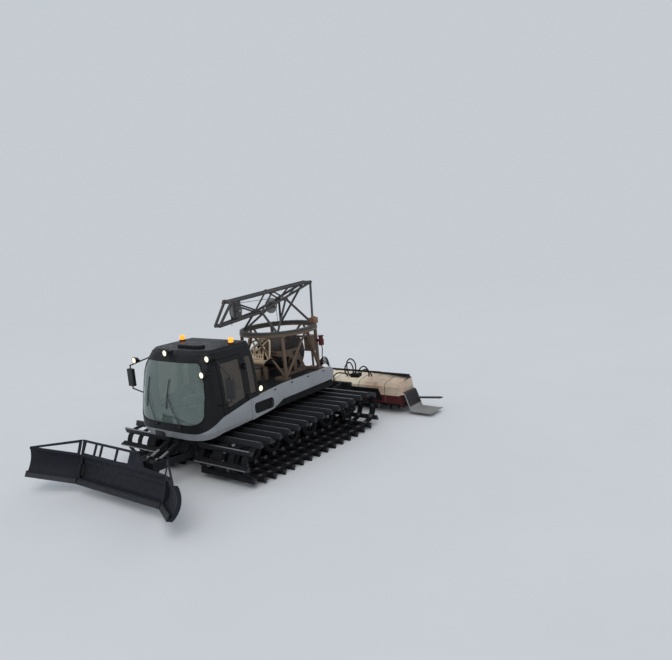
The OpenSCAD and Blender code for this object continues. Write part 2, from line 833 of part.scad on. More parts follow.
// Rope guide: a carriage with two upright rollers on a screw and a rod between the cheeks' arms
guide_rod_r = 22;
guide_half = 110;
guide_roller_r = 34;
guide_roller_h = 260;
module rope_guide() {
    y = winch_y + guide_at.x;
    z = deck_z + guide_at.y;
    end = cheek_x - seat;
    color(steel) {
        for (dz = [-35, 35]) x_cylinder(-end, end, guide_rod_r, y, z + dz);
        box([-guide_half, y - 55, z - 80], [guide_half, y + 55, z + 80]);
        for (x = [-guide_half + 45, guide_half - 45])
            translate([x, y, z + 79]) cylinder(r = guide_roller_r, h = guide_roller_h, $fn = 32);
        box([-guide_half, y - 40, z + 78 + guide_roller_h],
            [guide_half, y + 40, z + 108 + guide_roller_h]);
        box([cheek_x + cheek_t + seat, y - 50, z - 55], [cheek_x + cheek_t + 140, y + 50, z + 55]);
        box([-end + 40, y - 130, z - 40], [-end + 240, y - 20, z + 40]);
    }
}
// Tower: from each foot a post and two braces fan out to the ring's underside
tower_r = 45;
brace_r = 30;
brace_apart = 42;
module winch_tower() {
    rr = ring_r - 60;
    color(steel)
        both_sides()
            for (f = tower_feet) {
                a = atan2(f.y, f.x);
                foot = [f.x, winch_y + f.y, deck_z + foot_t - 10];
                box([f.x - foot_half, foot.y - foot_half, deck_z],
                    [f.x + foot_half, foot.y + foot_half, deck_z + foot_t]);
                difference() {
                    union() {
                        bar(foot, [rr * cos(a), winch_y + rr * sin(a), ring_under + 30], tower_r);
                        bar(foot, [rr, winch_y + brace_apart * sign(f.y), ring_under + 30], brace_r);
                        bar(foot, [brace_apart, winch_y + rr * sign(f.y), ring_under + 30], brace_r);
                    }
                    box([-2000, 0, ring_under], [2000, winch_y + 2000, ring_z + 200]);
                    box([-2000, 0, 0], [2000, winch_y + 2000, deck_z + 1]);
                }
            }
}
module winch_drum() {
    color("#4c4f52")
        translate([0, winch_y, drum_z]) {
            x_cylinder(-drum_w / 2, drum_w / 2, drum_r * 0.72);
            both_sides() {
                x_cylinder(drum_w / 2 - 1, drum_w / 2 + 25, drum_r);
                x_cylinder(drum_w / 2, cheek_x - seat, 90);
                x_cylinder(drum_w / 2, cheek_x + 45, 60);
            }
        }
}

// Boom: a truss on the slewing ring; points in the machine's middle plane
truss_half = 120;
top_rear = [winch_y + 1300, ring_z + 1060];
top_front = [winch_y - 1640, ring_z + 940];
head_pt = [winch_y - 2060, ring_z + 420];
low_mid = [winch_y - 670, ring_z + 540];
knee = [winch_y + 260, ring_z + 740];
top_mid = [winch_y - 200, ring_z + 1000];
boom_ring_t = 60;
head_sheave = [winch_y - 1420, ring_z + 690];
axis_sheave = [winch_y - sheave_r - cable_r - seat, ring_z + 630];
function side_pt(p, x = truss_half) = [x, p.x, p.y];
module sheave_cheek(p, low, high) {
    along_x(truss_half - 10, truss_half + 10)
        polygon([[p.x - 60, p.y - low], [p.x + 60, p.y - low], [p.x + 60, p.y + high],
                 [p.x - 60, p.y + high]]);
}
module boom_ring() {
    color(steel)
        translate([0, winch_y, ring_z + seat]) ring_plate(ring_r - 10, ring_r - 130, boom_ring_t);
}
// Truss of two sides on four pairs of legs, with cheeks for both sheaves
module boom() {
    ring_top = ring_z + seat + boom_ring_t;
    leg_rear = [560, winch_y + 720, ring_top - 40];
    leg_front = [600, winch_y - 690, ring_top - 40];
    color(steel)
        difference() {
            union() {
                both_sides() {
                    struts([
                        [side_pt(top_rear), side_pt(top_front)],
                        [side_pt(top_front), side_pt(head_pt, 75)],
                        [side_pt(head_pt, 75), side_pt(low_mid)],
                        [side_pt(low_mid), side_pt(top_rear - [0, 20])]
                    ], 34);
                    struts([
                        [side_pt(top_front), side_pt(low_mid)],
                        [side_pt(low_mid), side_pt(top_mid)],
                        [side_pt(top_mid), side_pt(knee)],
                        [side_pt(knee), side_pt([winch_y + 750, ring_z + 1035])]
                    ], 22);
                    struts([
                        [side_pt(top_rear), leg_rear], [side_pt(low_mid), leg_front],
                        [side_pt(knee), leg_front], [side_pt(knee), leg_rear]
                    ], 30);
                    sheave_cheek(head_sheave, 210, 240);
                    sheave_cheek(axis_sheave, 60, 110);
                }
                for (p = [top_front, top_rear, low_mid, top_mid, knee])
                    bar(side_pt(p, -truss_half), side_pt(p), 24);
                bar(side_pt(head_pt, -75), side_pt(head_pt, 75), 24);
            }
            box([-2000, 0, ring_z - 200], [2000, winch_y + 2000, ring_top]);
            for (p = [head_sheave, axis_sheave])
                x_cylinder(-truss_half - 40, truss_half + 40, 30 + pin_gap, p.x, p.y);
        }
}
module sheave(p) {
    color("#8a8d90")
        translate([0, p.x, p.y]) {
            rotate([0, 90, 0])
                rotate_extrude($fn = 96)
                    polygon([[0, -34], [60, -34], [sheave_r + 24, -22], [sheave_r, -8],
                             [sheave_r, 8], [sheave_r + 24, 22], [60, 34], [0, 34]]);
            x_cylinder(-truss_half - 25, truss_half + 25, 30);
        }
}
// Cable: up the slewing axis, over both sheaves and down to a hook
hook_z = ring_z + 350;
cable_step = 8;
cable_sides = 8;
// Points round a sheave from angle a to angle b, a little outside its groove
function round_sheave(c, a, b) =
    let (n = ceil((b - a) / cable_step), r = (sheave_r + cable_r + seat) / cos((b - a) / n / 2))
    [for (k = [0 : n]) let (t = a + (b - a) * k / n) [0, c.x + r * cos(t), c.y + r * sin(t)]];
// Ring of the cable's tube at point i of its path, square to the path there
function cable_ring(path, i) =
    let (d = path[min(i + 1, len(path) - 1)] - path[max(i - 1, 0)], t = d / norm(d))
    [for (k = [0 : cable_sides - 1])
        let (a = k * 360 / cable_sides)
        path[i] + cable_r * (cos(a) * [1, 0, 0] + sin(a) * [0, -t.z, t.y])];
module winch_cable() {
    d = head_sheave - axis_sheave;
    lead = atan2(d.y, d.x) - 90;
    low = drum_z + drum_r * 0.72 + 30;
    path = concat([[0, winch_y, low]], round_sheave(axis_sheave, 0, lead),
                  round_sheave(head_sheave, lead, 180), [[0, head_sheave.x - sheave_r - cable_r, hook_z]]);
    n = cable_sides;
    last = len(path) - 1;
    color("#77797c")
        polyhedron(
            points = [for (i = [0 : last]) each cable_ring(path, i)],
            faces = concat(
                [[for (k = [0 : n - 1]) k]],
                [for (i = [0 : last - 1], k = [0 : n - 1])
                    [(i + 1) * n + k, (i + 1) * n + (k + 1) % n, i * n + (k + 1) % n, i * n + k]],
                [[for (k = [n - 1 : -1 : 0]) last * n + k]]
            )
        );
}

// Tiller housing's front face, and the cross beam that carries it
hood_y = tiller_y - 320;
carrier_y = hood_y - 100;

// Cylinders: eye on the chassis and eye on the arm, as y and z; both pairs stand at cyl_x
cyl_x = 150;
front_cyl = [[-2250, 900], [-2980, 640]];
rear_cyl = [[2330, 1090], [carrier_y - 180, 830]];
// Shares of a cylinder's length: where its rod starts and where its barrel ends
front_share = [0.297, 0.606];
rear_share = [0.349, 0.565];
barrel_r = 48;
rod_r = 28;
eye_r = 46;
eye_half = arm_half - 0.8;
neck_len = 80;
rod_eye_slack = 12;
// A bar along a cylinder's line, from t0 to t1 after its first eye
module on_line(c, t0, t1, r) {
    d = (c[1] - c[0]) / norm(c[1] - c[0]);
    translate([cyl_x, c[0].x + d.x * t0, c[0].y + d.y * t0])
        rotate([atan2(d.y, d.x) - 90, 0, 0])
            cylinder(r = r, h = t1 - t0, $fn = 40);
}
module barrels(c, share) {
    barrel_len = norm(c[1] - c[0]) * share[1];
    color(black)
        both_sides()
            difference() {
                union() {
                    x_cylinder(cyl_x - eye_half, cyl_x + eye_half, eye_r, c[0].x, c[0].y);
                    on_line(c, 0, neck_len + 1, rod_r);
                    on_line(c, neck_len, barrel_len, barrel_r);
                }
                x_cylinder(cyl_x - 40, cyl_x + 40, pin_r + pin_gap, c[0].x, c[0].y);
                on_line(c, neck_len + 15, barrel_len + 1, rod_r + pin_gap);
            }
}
module rods(c, share) {
    full = norm(c[1] - c[0]);
    inner = full * share[0];
    color("#c0c2c4")
        both_sides()
            difference() {
                union() {
                    on_line(c, inner, full - 20, rod_r);
                    x_cylinder(cyl_x - eye_half, cyl_x + eye_half, eye_r + 6, c[1].x, c[1].y);
                }
                x_cylinder(cyl_x - 40, cyl_x + 40, pin_r + rod_eye_slack, c[1].x, c[1].y);
            }
}

// Lift frame: two arms from the chassis to a cross head with a fork for the blade's swing pin
cross_y = [-3290, -3150];
head_z = 600;
swing_y = -3400;
swing_pin = 45;
fork_half = 120;
module lift_frame() {
    color(dark) {
        both_sides()
            difference() {
                along_x(lug_x - arm_half + seat, lug_x + arm_half - seat)
                    polygon([[lift_y + 50, lift_z - 55], [lift_y + 50, lift_z + 55],
                             [cross_y[1], head_z + 80], [cross_y[1] - 20, head_z - 100]]);
                x_cylinder(0, lug_x + 100, pin_r + pin_gap, lift_y, lift_z);
            }
        difference() {
            box([-lug_x - 60, cross_y[0], head_z - 120], [lug_x + 60, cross_y[1], head_z + 120]);
            translate([0, swing_y, head_z - 200]) cylinder(r = 130, h = 400, $fn = 48);
        }
        for (z = [head_z + fork_half, head_z - fork_half - 30])
            translate([0, 0, z])
                linear_extrude(30)
                    polygon([[-200, cross_y[0] + 80], [200, cross_y[0] + 80], [80, swing_y - 70],
                             [-80, swing_y - 70]]);
        translate([0, swing_y, head_z - fork_half - 50])
            cylinder(r = swing_pin, h = 2 * fork_half + 100, $fn = 48);
        for (x0 = [cyl_x - arm_half - lug_t, cyl_x + arm_half])
            both_sides()
                along_x(x0, x0 + lug_t)
                    translate(front_cyl[1])
                        polygon([[45, 45], [-20, 50], [cross_y[1] - front_cyl[1].x - 5, 0],
                                 [cross_y[1] - front_cyl[1].x - 5, -120], [45, -50]]);
        both_sides()
            x_cylinder(cyl_x - 72, cyl_x + 72, pin_r, front_cyl[1].x, front_cyl[1].y);
    }
}

// Blade head: swings about the upright pin; the blade rolls on the stub at its front
stub_r = 60;
plate_y = [-3560, -3531];
module blade_head() {
    color(dark)
        difference() {
            union() {
                translate([0, swing_y, head_z - fork_half + seat])
                    cylinder(r = 90, h = 2 * (fork_half - seat), $fn = 48);
                box([-90, plate_y[1] + seat, head_z - 105], [90, swing_y, head_z + 105]);
                translate([0, plate_y[1] + 1, head_z])
                    rotate([90, 0, 0]) cylinder(r = stub_r, h = plate_y[1] - plate_y[0] + 26, $fn = 48);
            }
            translate([0, swing_y, head_z - 200])
                cylinder(r = swing_pin + pin_gap, h = 400, $fn = 48);
        }
}
module blade_turret() {
    color(dark)
        difference() {
            box([-300, plate_y[0], head_z - 130], [300, plate_y[1], head_z + 130]);
            translate([0, 0, head_z])
                along_y(plate_y[0] - 1, plate_y[1] + 1) circle(stub_r + pin_gap, $fn = 48);
        }
}

// Blade: built upright on its cutting edge, then leant back about it
blade_arc = (pow(blade_h / 2, 2) + pow(blade_sag, 2)) / (2 * blade_sag);
module leant() {
    translate([0, blade_y, blade_z]) rotate([-blade_lean, 0, 0]) children();
}
module plate_profile() {
    intersection() {
        translate([blade_sag - blade_arc, blade_h / 2])
            difference() {
                circle(blade_arc + blade_t, $fn = 128);
                circle(blade_arc, $fn = 128);
            }
        translate([-100, 0]) square([400, blade_h]);
    }
}
module end_profile() {
    intersection() {
        translate([blade_sag - blade_arc, blade_h / 2])
            difference() {
                circle(blade_arc + blade_t + 50, $fn = 128);
                circle(blade_arc, $fn = 128);
            }
        translate([-100, 0]) square([400, blade_h]);
    }
}
module edge_profile() {
    polygon([[-6, 0], [20, 0], [44, 130], [16, 130]]);
}
wing_axis_x = blade_w / 2;
wing_axis_y = 55;
wing_gap = 34;
knuckle_r = 24;
wing_pin = 11;
knuckles = [40, 200, 420, 580];
rail_end = 520;
rail_t = 26;
// Places of the ribs on the plate's back
rib_xs = [-1000, -520, 500, 980];
// Upright plate over the concave one, between heights that follow its outline
module window_row(windows) {
    for (w = windows)
        polygon([[w[0], blade_h + 55], [w[1], blade_h + 55],
                 [w[1] + 30, blade_h + rail_h - 45], [w[0] + 30, blade_h + rail_h - 45]]);
}
module blade_main() {
    x0 = -wing_axis_x + wing_gap;
    x1 = wing_axis_x - wing_gap;
    color(black) {
        leant()
            difference() {
                union() {
                    along_x(x0, x1) plate_profile();
                    along_x(x0, x1) edge_profile();
                    for (x = concat([x0, x1 - 20], rib_xs)) along_x(x, x + 20) end_profile();
                    along_y(-2, 20)
                        difference() {
                            polygon([[x0, blade_h - 20], [x1, blade_h - 20], [x1, blade_h + 30],
                                     [rail_end + 260, blade_h + 60], [rail_end, blade_h + rail_h],
                                     [x0, blade_h + rail_h]]);
                            window_row([for (w = [[80, 430], [490, 640], [700, 1180], [1240, 1640]])
                                [x0 + w[0], x0 + w[1]]]);
                        }
                    along_x(x0, rail_end)
                        translate([9, blade_h + rail_h - 20]) circle(rail_t, $fn = 8);
                    for (z = [90, blade_h - 150])
                        box([x0 + 60, blade_sag * 0.6, z], [x1 - 60, blade_sag + 110, z + 80]);
                    both_sides()
                        for (k = [0, 2]) {
                            z0 = knuckles[k];
                            z1 = knuckles[k + 1];
                            translate([wing_axis_x, wing_axis_y, z0])
                                cylinder(r = knuckle_r, h = z1 - z0, $fn = 32);
                            box([x1 - 20, wing_axis_y - 10, z0],
                                [wing_axis_x, wing_axis_y + 10, z1]);
                        }
                }
                both_sides()
                    translate([wing_axis_x, wing_axis_y, knuckles[1]])
                        cylinder(r = knuckle_r + 8, h = knuckles[2] - knuckles[1], $fn = 32);
            }
        leant()
            both_sides()
                translate([wing_axis_x, wing_axis_y, knuckles[0]])
                    cylinder(r = wing_pin, h = knuckles[3] - knuckles[0], $fn = 32);
        for (x = [-230, 200])
            along_x(x, x + 30)
                polygon([[plate_y[0], head_z - 130], [plate_y[0], head_z + 130], [-3640, head_z + 100],
                         [-3690, head_z + 60], [-3740, head_z - 80], [-3700, head_z - 180]]);
    }
}
module wing_form() {
    x0 = wing_gap;
    difference() {
        union() {
            along_x(x0, wing_w) plate_profile();
            along_x(x0, wing_w) edge_profile();
            for (x = [x0, wing_w - 20]) along_x(x, x + 20) end_profile();
            along_y(-2, 20)
                difference() {
                    polygon([[x0, blade_h - 20], [wing_w, blade_h - 20], [wing_w, blade_h + 30],
                             [x0, blade_h + rail_h]]);
                    polygon([[x0 + 60, blade_h + 30], [wing_w - 190, blade_h + 30],
                             [x0 + 60, blade_h + rail_h - 75]]);
                }
            translate([0, wing_axis_y, knuckles[1] + seat])
                cylinder(r = knuckle_r, h = knuckles[2] - knuckles[1] - 2 * seat, $fn = 32);
            box([0, wing_axis_y - 10, knuckles[1] + seat],
                [x0 + 40, wing_axis_y + 10, knuckles[2] - seat]);
            box([x0, wing_axis_y - 10, knuckles[1] + seat],
                [x0 + 20, blade_sag + 10, knuckles[2] - seat]);
        }
        translate([0, wing_axis_y, 0]) cylinder(r = wing_pin + pin_gap, h = blade_h, $fn = 32);
    }
}
module wing(side) {
    color(black)
        leant()
            translate([side * wing_axis_x, wing_axis_y, 0])
                rotate(-side * wing_fold)
                    translate([0, -wing_axis_y, 0])
                        mirror([side < 0 ? 1 : 0, 0, 0]) wing_form();
}

// Tiller: carrier on the chassis, hood, toothed shaft, comb and side finishers
module tiller_carrier() {
    color(dark) {
        both_sides()
            difference() {
                along_x(lug_x - arm_half + seat, lug_x + arm_half - seat)
                    polygon([[hitch_y - 50, hitch_z - 55], [hitch_y - 50, hitch_z + 55],
                             [carrier_y, 800], [carrier_y, 600]]);
                x_cylinder(0, lug_x + 100, pin_r + pin_gap, hitch_y, hitch_z);
            }
        box([-620, carrier_y - 20, 590], [620, hood_y - seat, 810]);
        for (x0 = [cyl_x - arm_half - lug_t, cyl_x + arm_half])
            both_sides()
                along_x(x0, x0 + lug_t)
                    translate(rear_cyl[1])
                        polygon([[-45, 45], [20, 50], [carrier_y - rear_cyl[1].x - 5, -25],
                                 [carrier_y - rear_cyl[1].x - 5, -200], [-45, -50]]);
        both_sides()
            x_cylinder(cyl_x - 72, cyl_x + 72, pin_r, rear_cyl[1].x, rear_cyl[1].y);
    }
}
hood_t = 18;
// Hood: outer line from the apron's lower edge over the top to the rear edge, and inner line back
hood_line = [[hood_y, 320], [hood_y, 770], [hood_y + 70, 860], [tiller_y + 320, 950],
             [tiller_y + 400, 900], [tiller_y + 450, 680], [tiller_y + 505, 480]];
hood_in = [[tiller_y + 485, 470], [tiller_y + 431, 675], [tiller_y + 384, 888],
           [tiller_y + 314, 930], [hood_y + 78, 842], [hood_y + hood_t, 762], [hood_y + hood_t, 320]];
hood_rear = hood_line[len(hood_line) - 1];
// End plates: from the front edge down round the shaft and up inside the hood
end_line = [[hood_y + 10, 600], [hood_y + 40, 300], [tiller_y - 100, 170], [tiller_y + 100, 170],
            [tiller_y + 380, 300], hood_in[0], [tiller_y + 440, 677], [tiller_y + 392, 894],
            [tiller_y + 317, 940], [hood_y + 74, 851], [hood_y + 10, 766]];
tiller_journal = 40;
// Covers of the side finishers' cylinders, on the hood's top at its ends
cover_x = [tiller_w / 2 - 950, tiller_w / 2 - 40];
cover_line = [[tiller_y + 270, 930], [tiller_y + 280, 985], [tiller_y + 310, 1005],
              [tiller_y + 380, 985], [tiller_y + 402, 895]];
module tiller_hood() {
    half = tiller_w / 2;
    color("#c9c0a2") along_x(-half, half) polygon(concat(hood_line, hood_in));
    color("#7a2320")
        both_sides()
            difference() {
                along_x(half - hood_t, half) polygon(end_line);
                x_cylinder(half - 40, half + 10, tiller_journal + pin_gap, tiller_y, tiller_z);
            }
    color(dark)
        both_sides() {
            along_x(cover_x[0], cover_x[1]) polygon(cover_line);
            flap_brackets();
        }
}
tooth_rows = 24;
module tiller_shaft() {
    half = tiller_w / 2 - hood_t - 8;
    color(steel)
        translate([0, tiller_y, tiller_z]) {
            x_cylinder(-half, half, 90);
            x_cylinder(-tiller_w / 2 - 15, tiller_w / 2 + 15, tiller_journal);
            for (i = [0 : tooth_rows - 1])
                rotate([i * 50, 0, 0])
                    for (a = [0, 180])
                        rotate([a, 0, 0])
                            translate([mix(-half + 50, half - 50, i / (tooth_rows - 1)), 0, 0])
                                along_x(-14, 14)
                                    polygon([[-34, 80], [34, 80], [12, tiller_r], [-12, tiller_r]]);
        }
}
finisher_line = [[tiller_y + 650, 220], [tiller_y + 832, 55], [tiller_y + 816, 32],
                 [tiller_y + 618, 190]];
module finisher() {
    half = tiller_w / 2;
    color("#3b3d40")
        along_x(-half, half) polygon(concat([hood_rear], finisher_line, [hood_in[0]]));
}
// Side finishers fold up about pins along the housing's ends
flap_axis = [tiller_w / 2 + 40, 560];
flap_y = [tiller_y - 160, tiller_y + 440];
flap_drop = 440;
module flap_knuckle(y0, y1, r) {
    along_y(y0, y1) translate(flap_axis) circle(r, $fn = 32);
}
module flap_brackets() {
    half = tiller_w / 2;
    for (y = [flap_y[0] - 40 - seat, flap_y[1] + seat]) {
        flap_knuckle(y, y + 40, 28);
        box([half - 1, y, flap_axis.y - 25], [flap_axis.x, y + 40, flap_axis.y + 25]);
    }
    flap_knuckle(flap_y[0] - 30, flap_y[1] + 30, 12);
}
module side_finisher() {
    color("#b9bab8")
        difference() {
            union() {
                flap_knuckle(flap_y[0], flap_y[1], 28);
                along_y(flap_y[0], flap_y[1])
                    translate(flap_axis)
                        polygon([[0, -14], [0, 14], [60, 8], [230, -flap_drop],
                                 [side_reach - 50, -flap_drop - 10], [side_reach, -flap_drop + 12],
                                 [side_reach, -flap_drop - 12], [side_reach - 48, -flap_drop - 32],
                                 [214, -flap_drop - 24], [40, -20]]);
                translate([flap_axis.x, flap_y[1], flap_axis.y - flap_drop / 2])
                    linear_extrude(30)
                        polygon([[110, -170], [side_reach - 90, 40], [side_reach - 60, 130],
                                 [side_reach - 130, 150], [125, -50]]);
            }
            flap_knuckle(flap_y[0] - 1, flap_y[1] + 1, 12 + pin_gap);
        }
}

chassis();
engine_block();
both_sides() suspension();
rims();  // rims_left
mirror([1, 0, 0]) rims();  // rims_right
tyres();  // tyres_left
mirror([1, 0, 0]) tyres();  // tyres_right
sprocket();  // sprocket_left
mirror([1, 0, 0]) sprocket();  // sprocket_right
track();  // track_left
mirror([1, 0, 0]) track();  // track_right
cab_shell();
windscreen();
cab_glass();
door();  // door_left
mirror([1, 0, 0]) door();  // door_right
door_glass();  // door_glass_left
mirror([1, 0, 0]) door_glass();  // door_glass_right
belt_front();
side_panel();  // side_panel_left
mirror([1, 0, 0]) side_panel();  // side_panel_right
vent_grilles();
seats();
dashboard();
mirrors();
work_lamps();
beacons();
rear_body();
exhaust();
rear_rack();
winch_frame();
winch_tower();
rope_guide();
winch_drum();
boom_ring();
boom();
sheave(head_sheave);
sheave(axis_sheave);
winch_cable();
lift_frame();
barrels(front_cyl, front_share);  // lift_barrels
rods(front_cyl, front_share);  // lift_rods
blade_head();
blade_turret();
blade_main();
wing(1);  // blade_wing_left
wing(-1);  // blade_wing_right
tiller_carrier();
barrels(rear_cyl, rear_share);  // tiller_barrels
rods(rear_cyl, rear_share);  // tiller_rods
tiller_hood();
tiller_shaft();
finisher();
side_finisher();  // side_finisher_left
mirror([1, 0, 0]) side_finisher();  // side_finisher_right
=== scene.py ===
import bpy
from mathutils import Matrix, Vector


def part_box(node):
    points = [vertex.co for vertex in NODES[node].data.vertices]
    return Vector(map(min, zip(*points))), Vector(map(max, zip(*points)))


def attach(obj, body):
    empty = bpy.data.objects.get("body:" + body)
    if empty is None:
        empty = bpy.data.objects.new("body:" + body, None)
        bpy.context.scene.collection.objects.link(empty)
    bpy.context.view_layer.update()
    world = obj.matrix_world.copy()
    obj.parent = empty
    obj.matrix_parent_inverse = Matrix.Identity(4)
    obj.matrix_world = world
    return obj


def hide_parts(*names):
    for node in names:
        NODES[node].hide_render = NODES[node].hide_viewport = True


bl_info = {
    "name": "Winch Snow Groomer Dressing",
    "version": (1, 0, 0),
    "blender": (4, 5, 0),
    "location": "3D View > Sidebar > Groomer",
    "description": "Finishes, trim and fittings for the packed snow groomer model",
    "category": "Add Mesh",
}

import bmesh
import bpy
import numpy as np
from bpy.props import FloatProperty, FloatVectorProperty, PointerProperty
from mathutils import Matrix

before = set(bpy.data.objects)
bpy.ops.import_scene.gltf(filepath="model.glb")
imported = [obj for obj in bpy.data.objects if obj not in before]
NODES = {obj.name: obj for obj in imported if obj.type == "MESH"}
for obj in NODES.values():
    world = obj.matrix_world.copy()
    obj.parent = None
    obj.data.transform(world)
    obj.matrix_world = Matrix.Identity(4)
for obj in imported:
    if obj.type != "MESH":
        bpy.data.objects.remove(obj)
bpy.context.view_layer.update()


# Sizes shared with the solids, in metres
TRACK_IN, TRACK_OUT = 0.5, 2.1
CLEAT_H, CLEATS = 0.12, 34
LOOP = np.array([
    [2.14, 0.52, 0.344],
    [-1.9, 0.49, 0.314],
    [-1.23, 0.434, 0.314],
    [1.478, 0.434, 0.314],
])
WHEEL_X, WHEEL_R, TYRE_W = 1.11, 0.3, 0.22
WHEELS = np.array([[-1.9, 0.49]] + [[-1.23 + 0.677 * i, 0.434] for i in range(5)])
SPROCKET = np.array([2.14, 0.52])
HALF_W, BEACON_X = 1.15, 0.82
WINCH_Y, RING_Z = 1.3, 2.7
DRUM_Z, DRUM_W = 2.09, 0.76
BLADE_Y, BLADE_Z, LEAN = -4.0, 0.225, np.radians(20)
BLADE_H, BLADE_SAG = 0.62, 0.13
WING_X, WING_FOLD, WING_PIN_Y = 1.44, np.radians(32), 0.055
SEAL_R, SEAL_T = 0.033, 0.006


# Shapes: a shape is a pair of vertex rows and a list of faces
def quads(rows, cols, wrap_rows=False, wrap_cols=True):
    """Faces of a grid of rows by cols vertices: each joins a vertex to its neighbours along and across."""
    i = np.arange(rows if wrap_rows else rows - 1)[:, None]
    j = np.arange(cols if wrap_cols else cols - 1)[None, :]
    a = i * cols + j
    b = i * cols + (j + 1) % cols
    c = (i + 1) % rows * cols + (j + 1) % cols
    d = (i + 1) % rows * cols + j
    return np.stack([a, b, c, d], -1).reshape(-1, 4)


def loft(rings, ends=True, wrap=False):
    """Closed skin through rings of equal point count; the first and the last ring are filled flat."""
    rings = np.asarray(rings, float)
    m, n = rings.shape[:2]
    faces = quads(m, n, wrap_rows=wrap).tolist()
    if ends and not wrap:
        faces += [list(range(n))[::-1], list(range((m - 1) * n, m * n))]
    return rings.reshape(-1, 3), faces


def shell(outer, inner):
    """Closed sheet between two grids of equal size: both faces, and a rim that joins their borders."""
    m, n = outer.shape[:2]
    top = quads(m, n, wrap_cols=False)
    index = np.arange(m * n).reshape(m, n)
    border = np.concatenate([index[0, :], index[1:, -1], index[-1, -2::-1], index[-2:0:-1, 0]])
    after = np.roll(border, -1)
    rim = np.stack([border, after, after + m * n, border + m * n], -1)
    faces = np.concatenate([top, top[:, ::-1] + m * n, rim])
    return np.concatenate([outer.reshape(-1, 3), inner.reshape(-1, 3)]), faces.tolist()


def lathe(profile, count=32):
    """Solid of revolution about Z: each profile point (r, h) runs round a circle of radius r at height h."""
    profile = np.asarray(profile, float)
    turn = np.linspace(0, 2 * np.pi, count, endpoint=False)
    r, h = profile[:, 0, None], profile[:, 1, None]
    rings = np.stack([r * np.cos(turn), r * np.sin(turn), h + 0 * turn], -1)
    return loft(rings)


def ring_lathe(profile, count=64):
    """Ring of revolution about Z: a closed profile of (r, h) points runs round the axis."""
    profile = np.asarray(profile, float)
    turn = np.linspace(0, 2 * np.pi, count, endpoint=False)[:, None]
    r, h = profile[None, :, 0], profile[None, :, 1]
    return loft(np.stack([r * np.cos(turn), r * np.sin(turn), h + 0 * turn], -1), wrap=True)


def tube(path, radius, sides=10):
    """Round tube along a path: at each point a circle in the plane square to the path's direction there."""
    path = np.asarray(path, float)
    ahead = np.gradient(path, axis=0)
    ahead /= np.linalg.norm(ahead, axis=1)[:, None]
    spread = np.abs(ahead).mean(0)
    side = np.cross(ahead, np.eye(3)[np.argmin(spread)])
    side /= np.linalg.norm(side, axis=1)[:, None]
    up = np.cross(side, ahead)
    turn = np.linspace(0, 2 * np.pi, sides, endpoint=False)
    radius = np.broadcast_to(np.asarray(radius, float), len(path))[:, None, None]
    ring = side[:, None, :] * np.cos(turn)[None, :, None] + up[:, None, :] * np.sin(turn)[None, :, None]
    return loft(path[:, None, :] + radius * ring)


def carry(profile, start, end, across, up):
    """Prism: a closed profile of (across, up) points carried straight from start to end."""
    profile = np.asarray(profile, float)
    flat = profile[:, 0, None] * np.asarray(across, float) + profile[:, 1, None] * np.asarray(up, float)
    return loft(np.stack([np.asarray(start) + flat, np.asarray(end) + flat]))


def block(low, high, soft=0.004, steps=3):
    """Box with rounded edges: on a sphere's grid of angles each corner eighth is moved to its own corner."""
    low, high = np.asarray(low, float), np.asarray(high, float)
    mid, half = (low + high) / 2, (high - low) / 2
    soft = min(soft, half.min() * 0.98)
    quarter = np.linspace(0, np.pi / 2, steps + 1)
    turn = np.concatenate([quarter + k * np.pi / 2 for k in range(4)])
    tilt = np.concatenate([quarter - np.pi / 2, quarter])
    t, p = turn[None, :], tilt[:, None]
    ball = np.stack([np.cos(p) * np.cos(t), np.cos(p) * np.sin(t), np.sin(p) + 0 * t], -1)
    quad = np.repeat(np.array([[1, 1], [-1, 1], [-1, -1], [1, -1]]), steps + 1, axis=0)
    sign = np.empty(ball.shape)
    sign[..., :2] = quad[None]
    sign[..., 2] = np.repeat([-1, 1], steps + 1)[:, None]
    return loft(mid + ball * soft + sign * (half - soft))


def turned(shape, axis, angle, origin=(0, 0, 0)):
    """The shape turned about an axis through an origin, by Rodrigues' rotation."""
    points, faces = shape
    axis = np.asarray(axis, float) / np.linalg.norm(axis)
    p = points - origin
    c, s = np.cos(angle), np.sin(angle)
    p = p * c + np.cross(axis, p) * s + axis * (p @ axis)[:, None] * (1 - c)
    return p + origin, faces


def moved(shape, offset):
    """The shape shifted by an offset."""
    return shape[0] + np.asarray(offset, float), shape[1]


def mirrored(shape):
    """The shape on the machine's other side: x changes sign and each face is read backwards."""
    points, faces = shape
    return points * [-1, 1, 1], [list(f)[::-1] for f in faces]


def facing(shape, normal):
    """The shape turned so that its Z axis points along the normal."""
    normal = np.asarray(normal, float) / np.linalg.norm(normal)
    axis = np.cross([0, 0, 1], normal)
    size = np.linalg.norm(axis)
    if size < 1e-9:
        return shape if normal[2] > 0 else turned(shape, [1, 0, 0], np.pi)
    return turned(shape, axis, np.arctan2(size, normal[2]))


def joined(shapes):
    """One shape from several, with the faces' numbers moved on."""
    rows, faces, base = [], [], 0
    for points, part in shapes:
        rows.append(points)
        faces += [[k + base for k in f] for f in part]
        base += len(points)
    return np.concatenate(rows), faces


def stamped(shape, places):
    """A copy of the shape at each place."""
    points, faces = shape
    places = np.asarray(places, float).reshape(-1, 3)
    rows = (places[:, None, :] + points[None]).reshape(-1, 3)
    all_faces = [[k + i * len(points) for k in f] for i in range(len(places)) for f in faces]
    return rows, all_faces


def bolt(r=0.012, h=0.009):
    """Hexagon head with a washer under it, along Z."""
    head = lathe([[r, 0.002], [r, h * 0.8], [r * 0.8, h]], 6)
    return joined([lathe([[r * 1.35, -0.001], [r * 1.35, 0.0025]], 14), head])


def bolts(places, normal, r=0.012, h=0.009):
    """Bolt heads at the places, all along one normal."""
    return stamped(facing(bolt(r, h), normal), places)


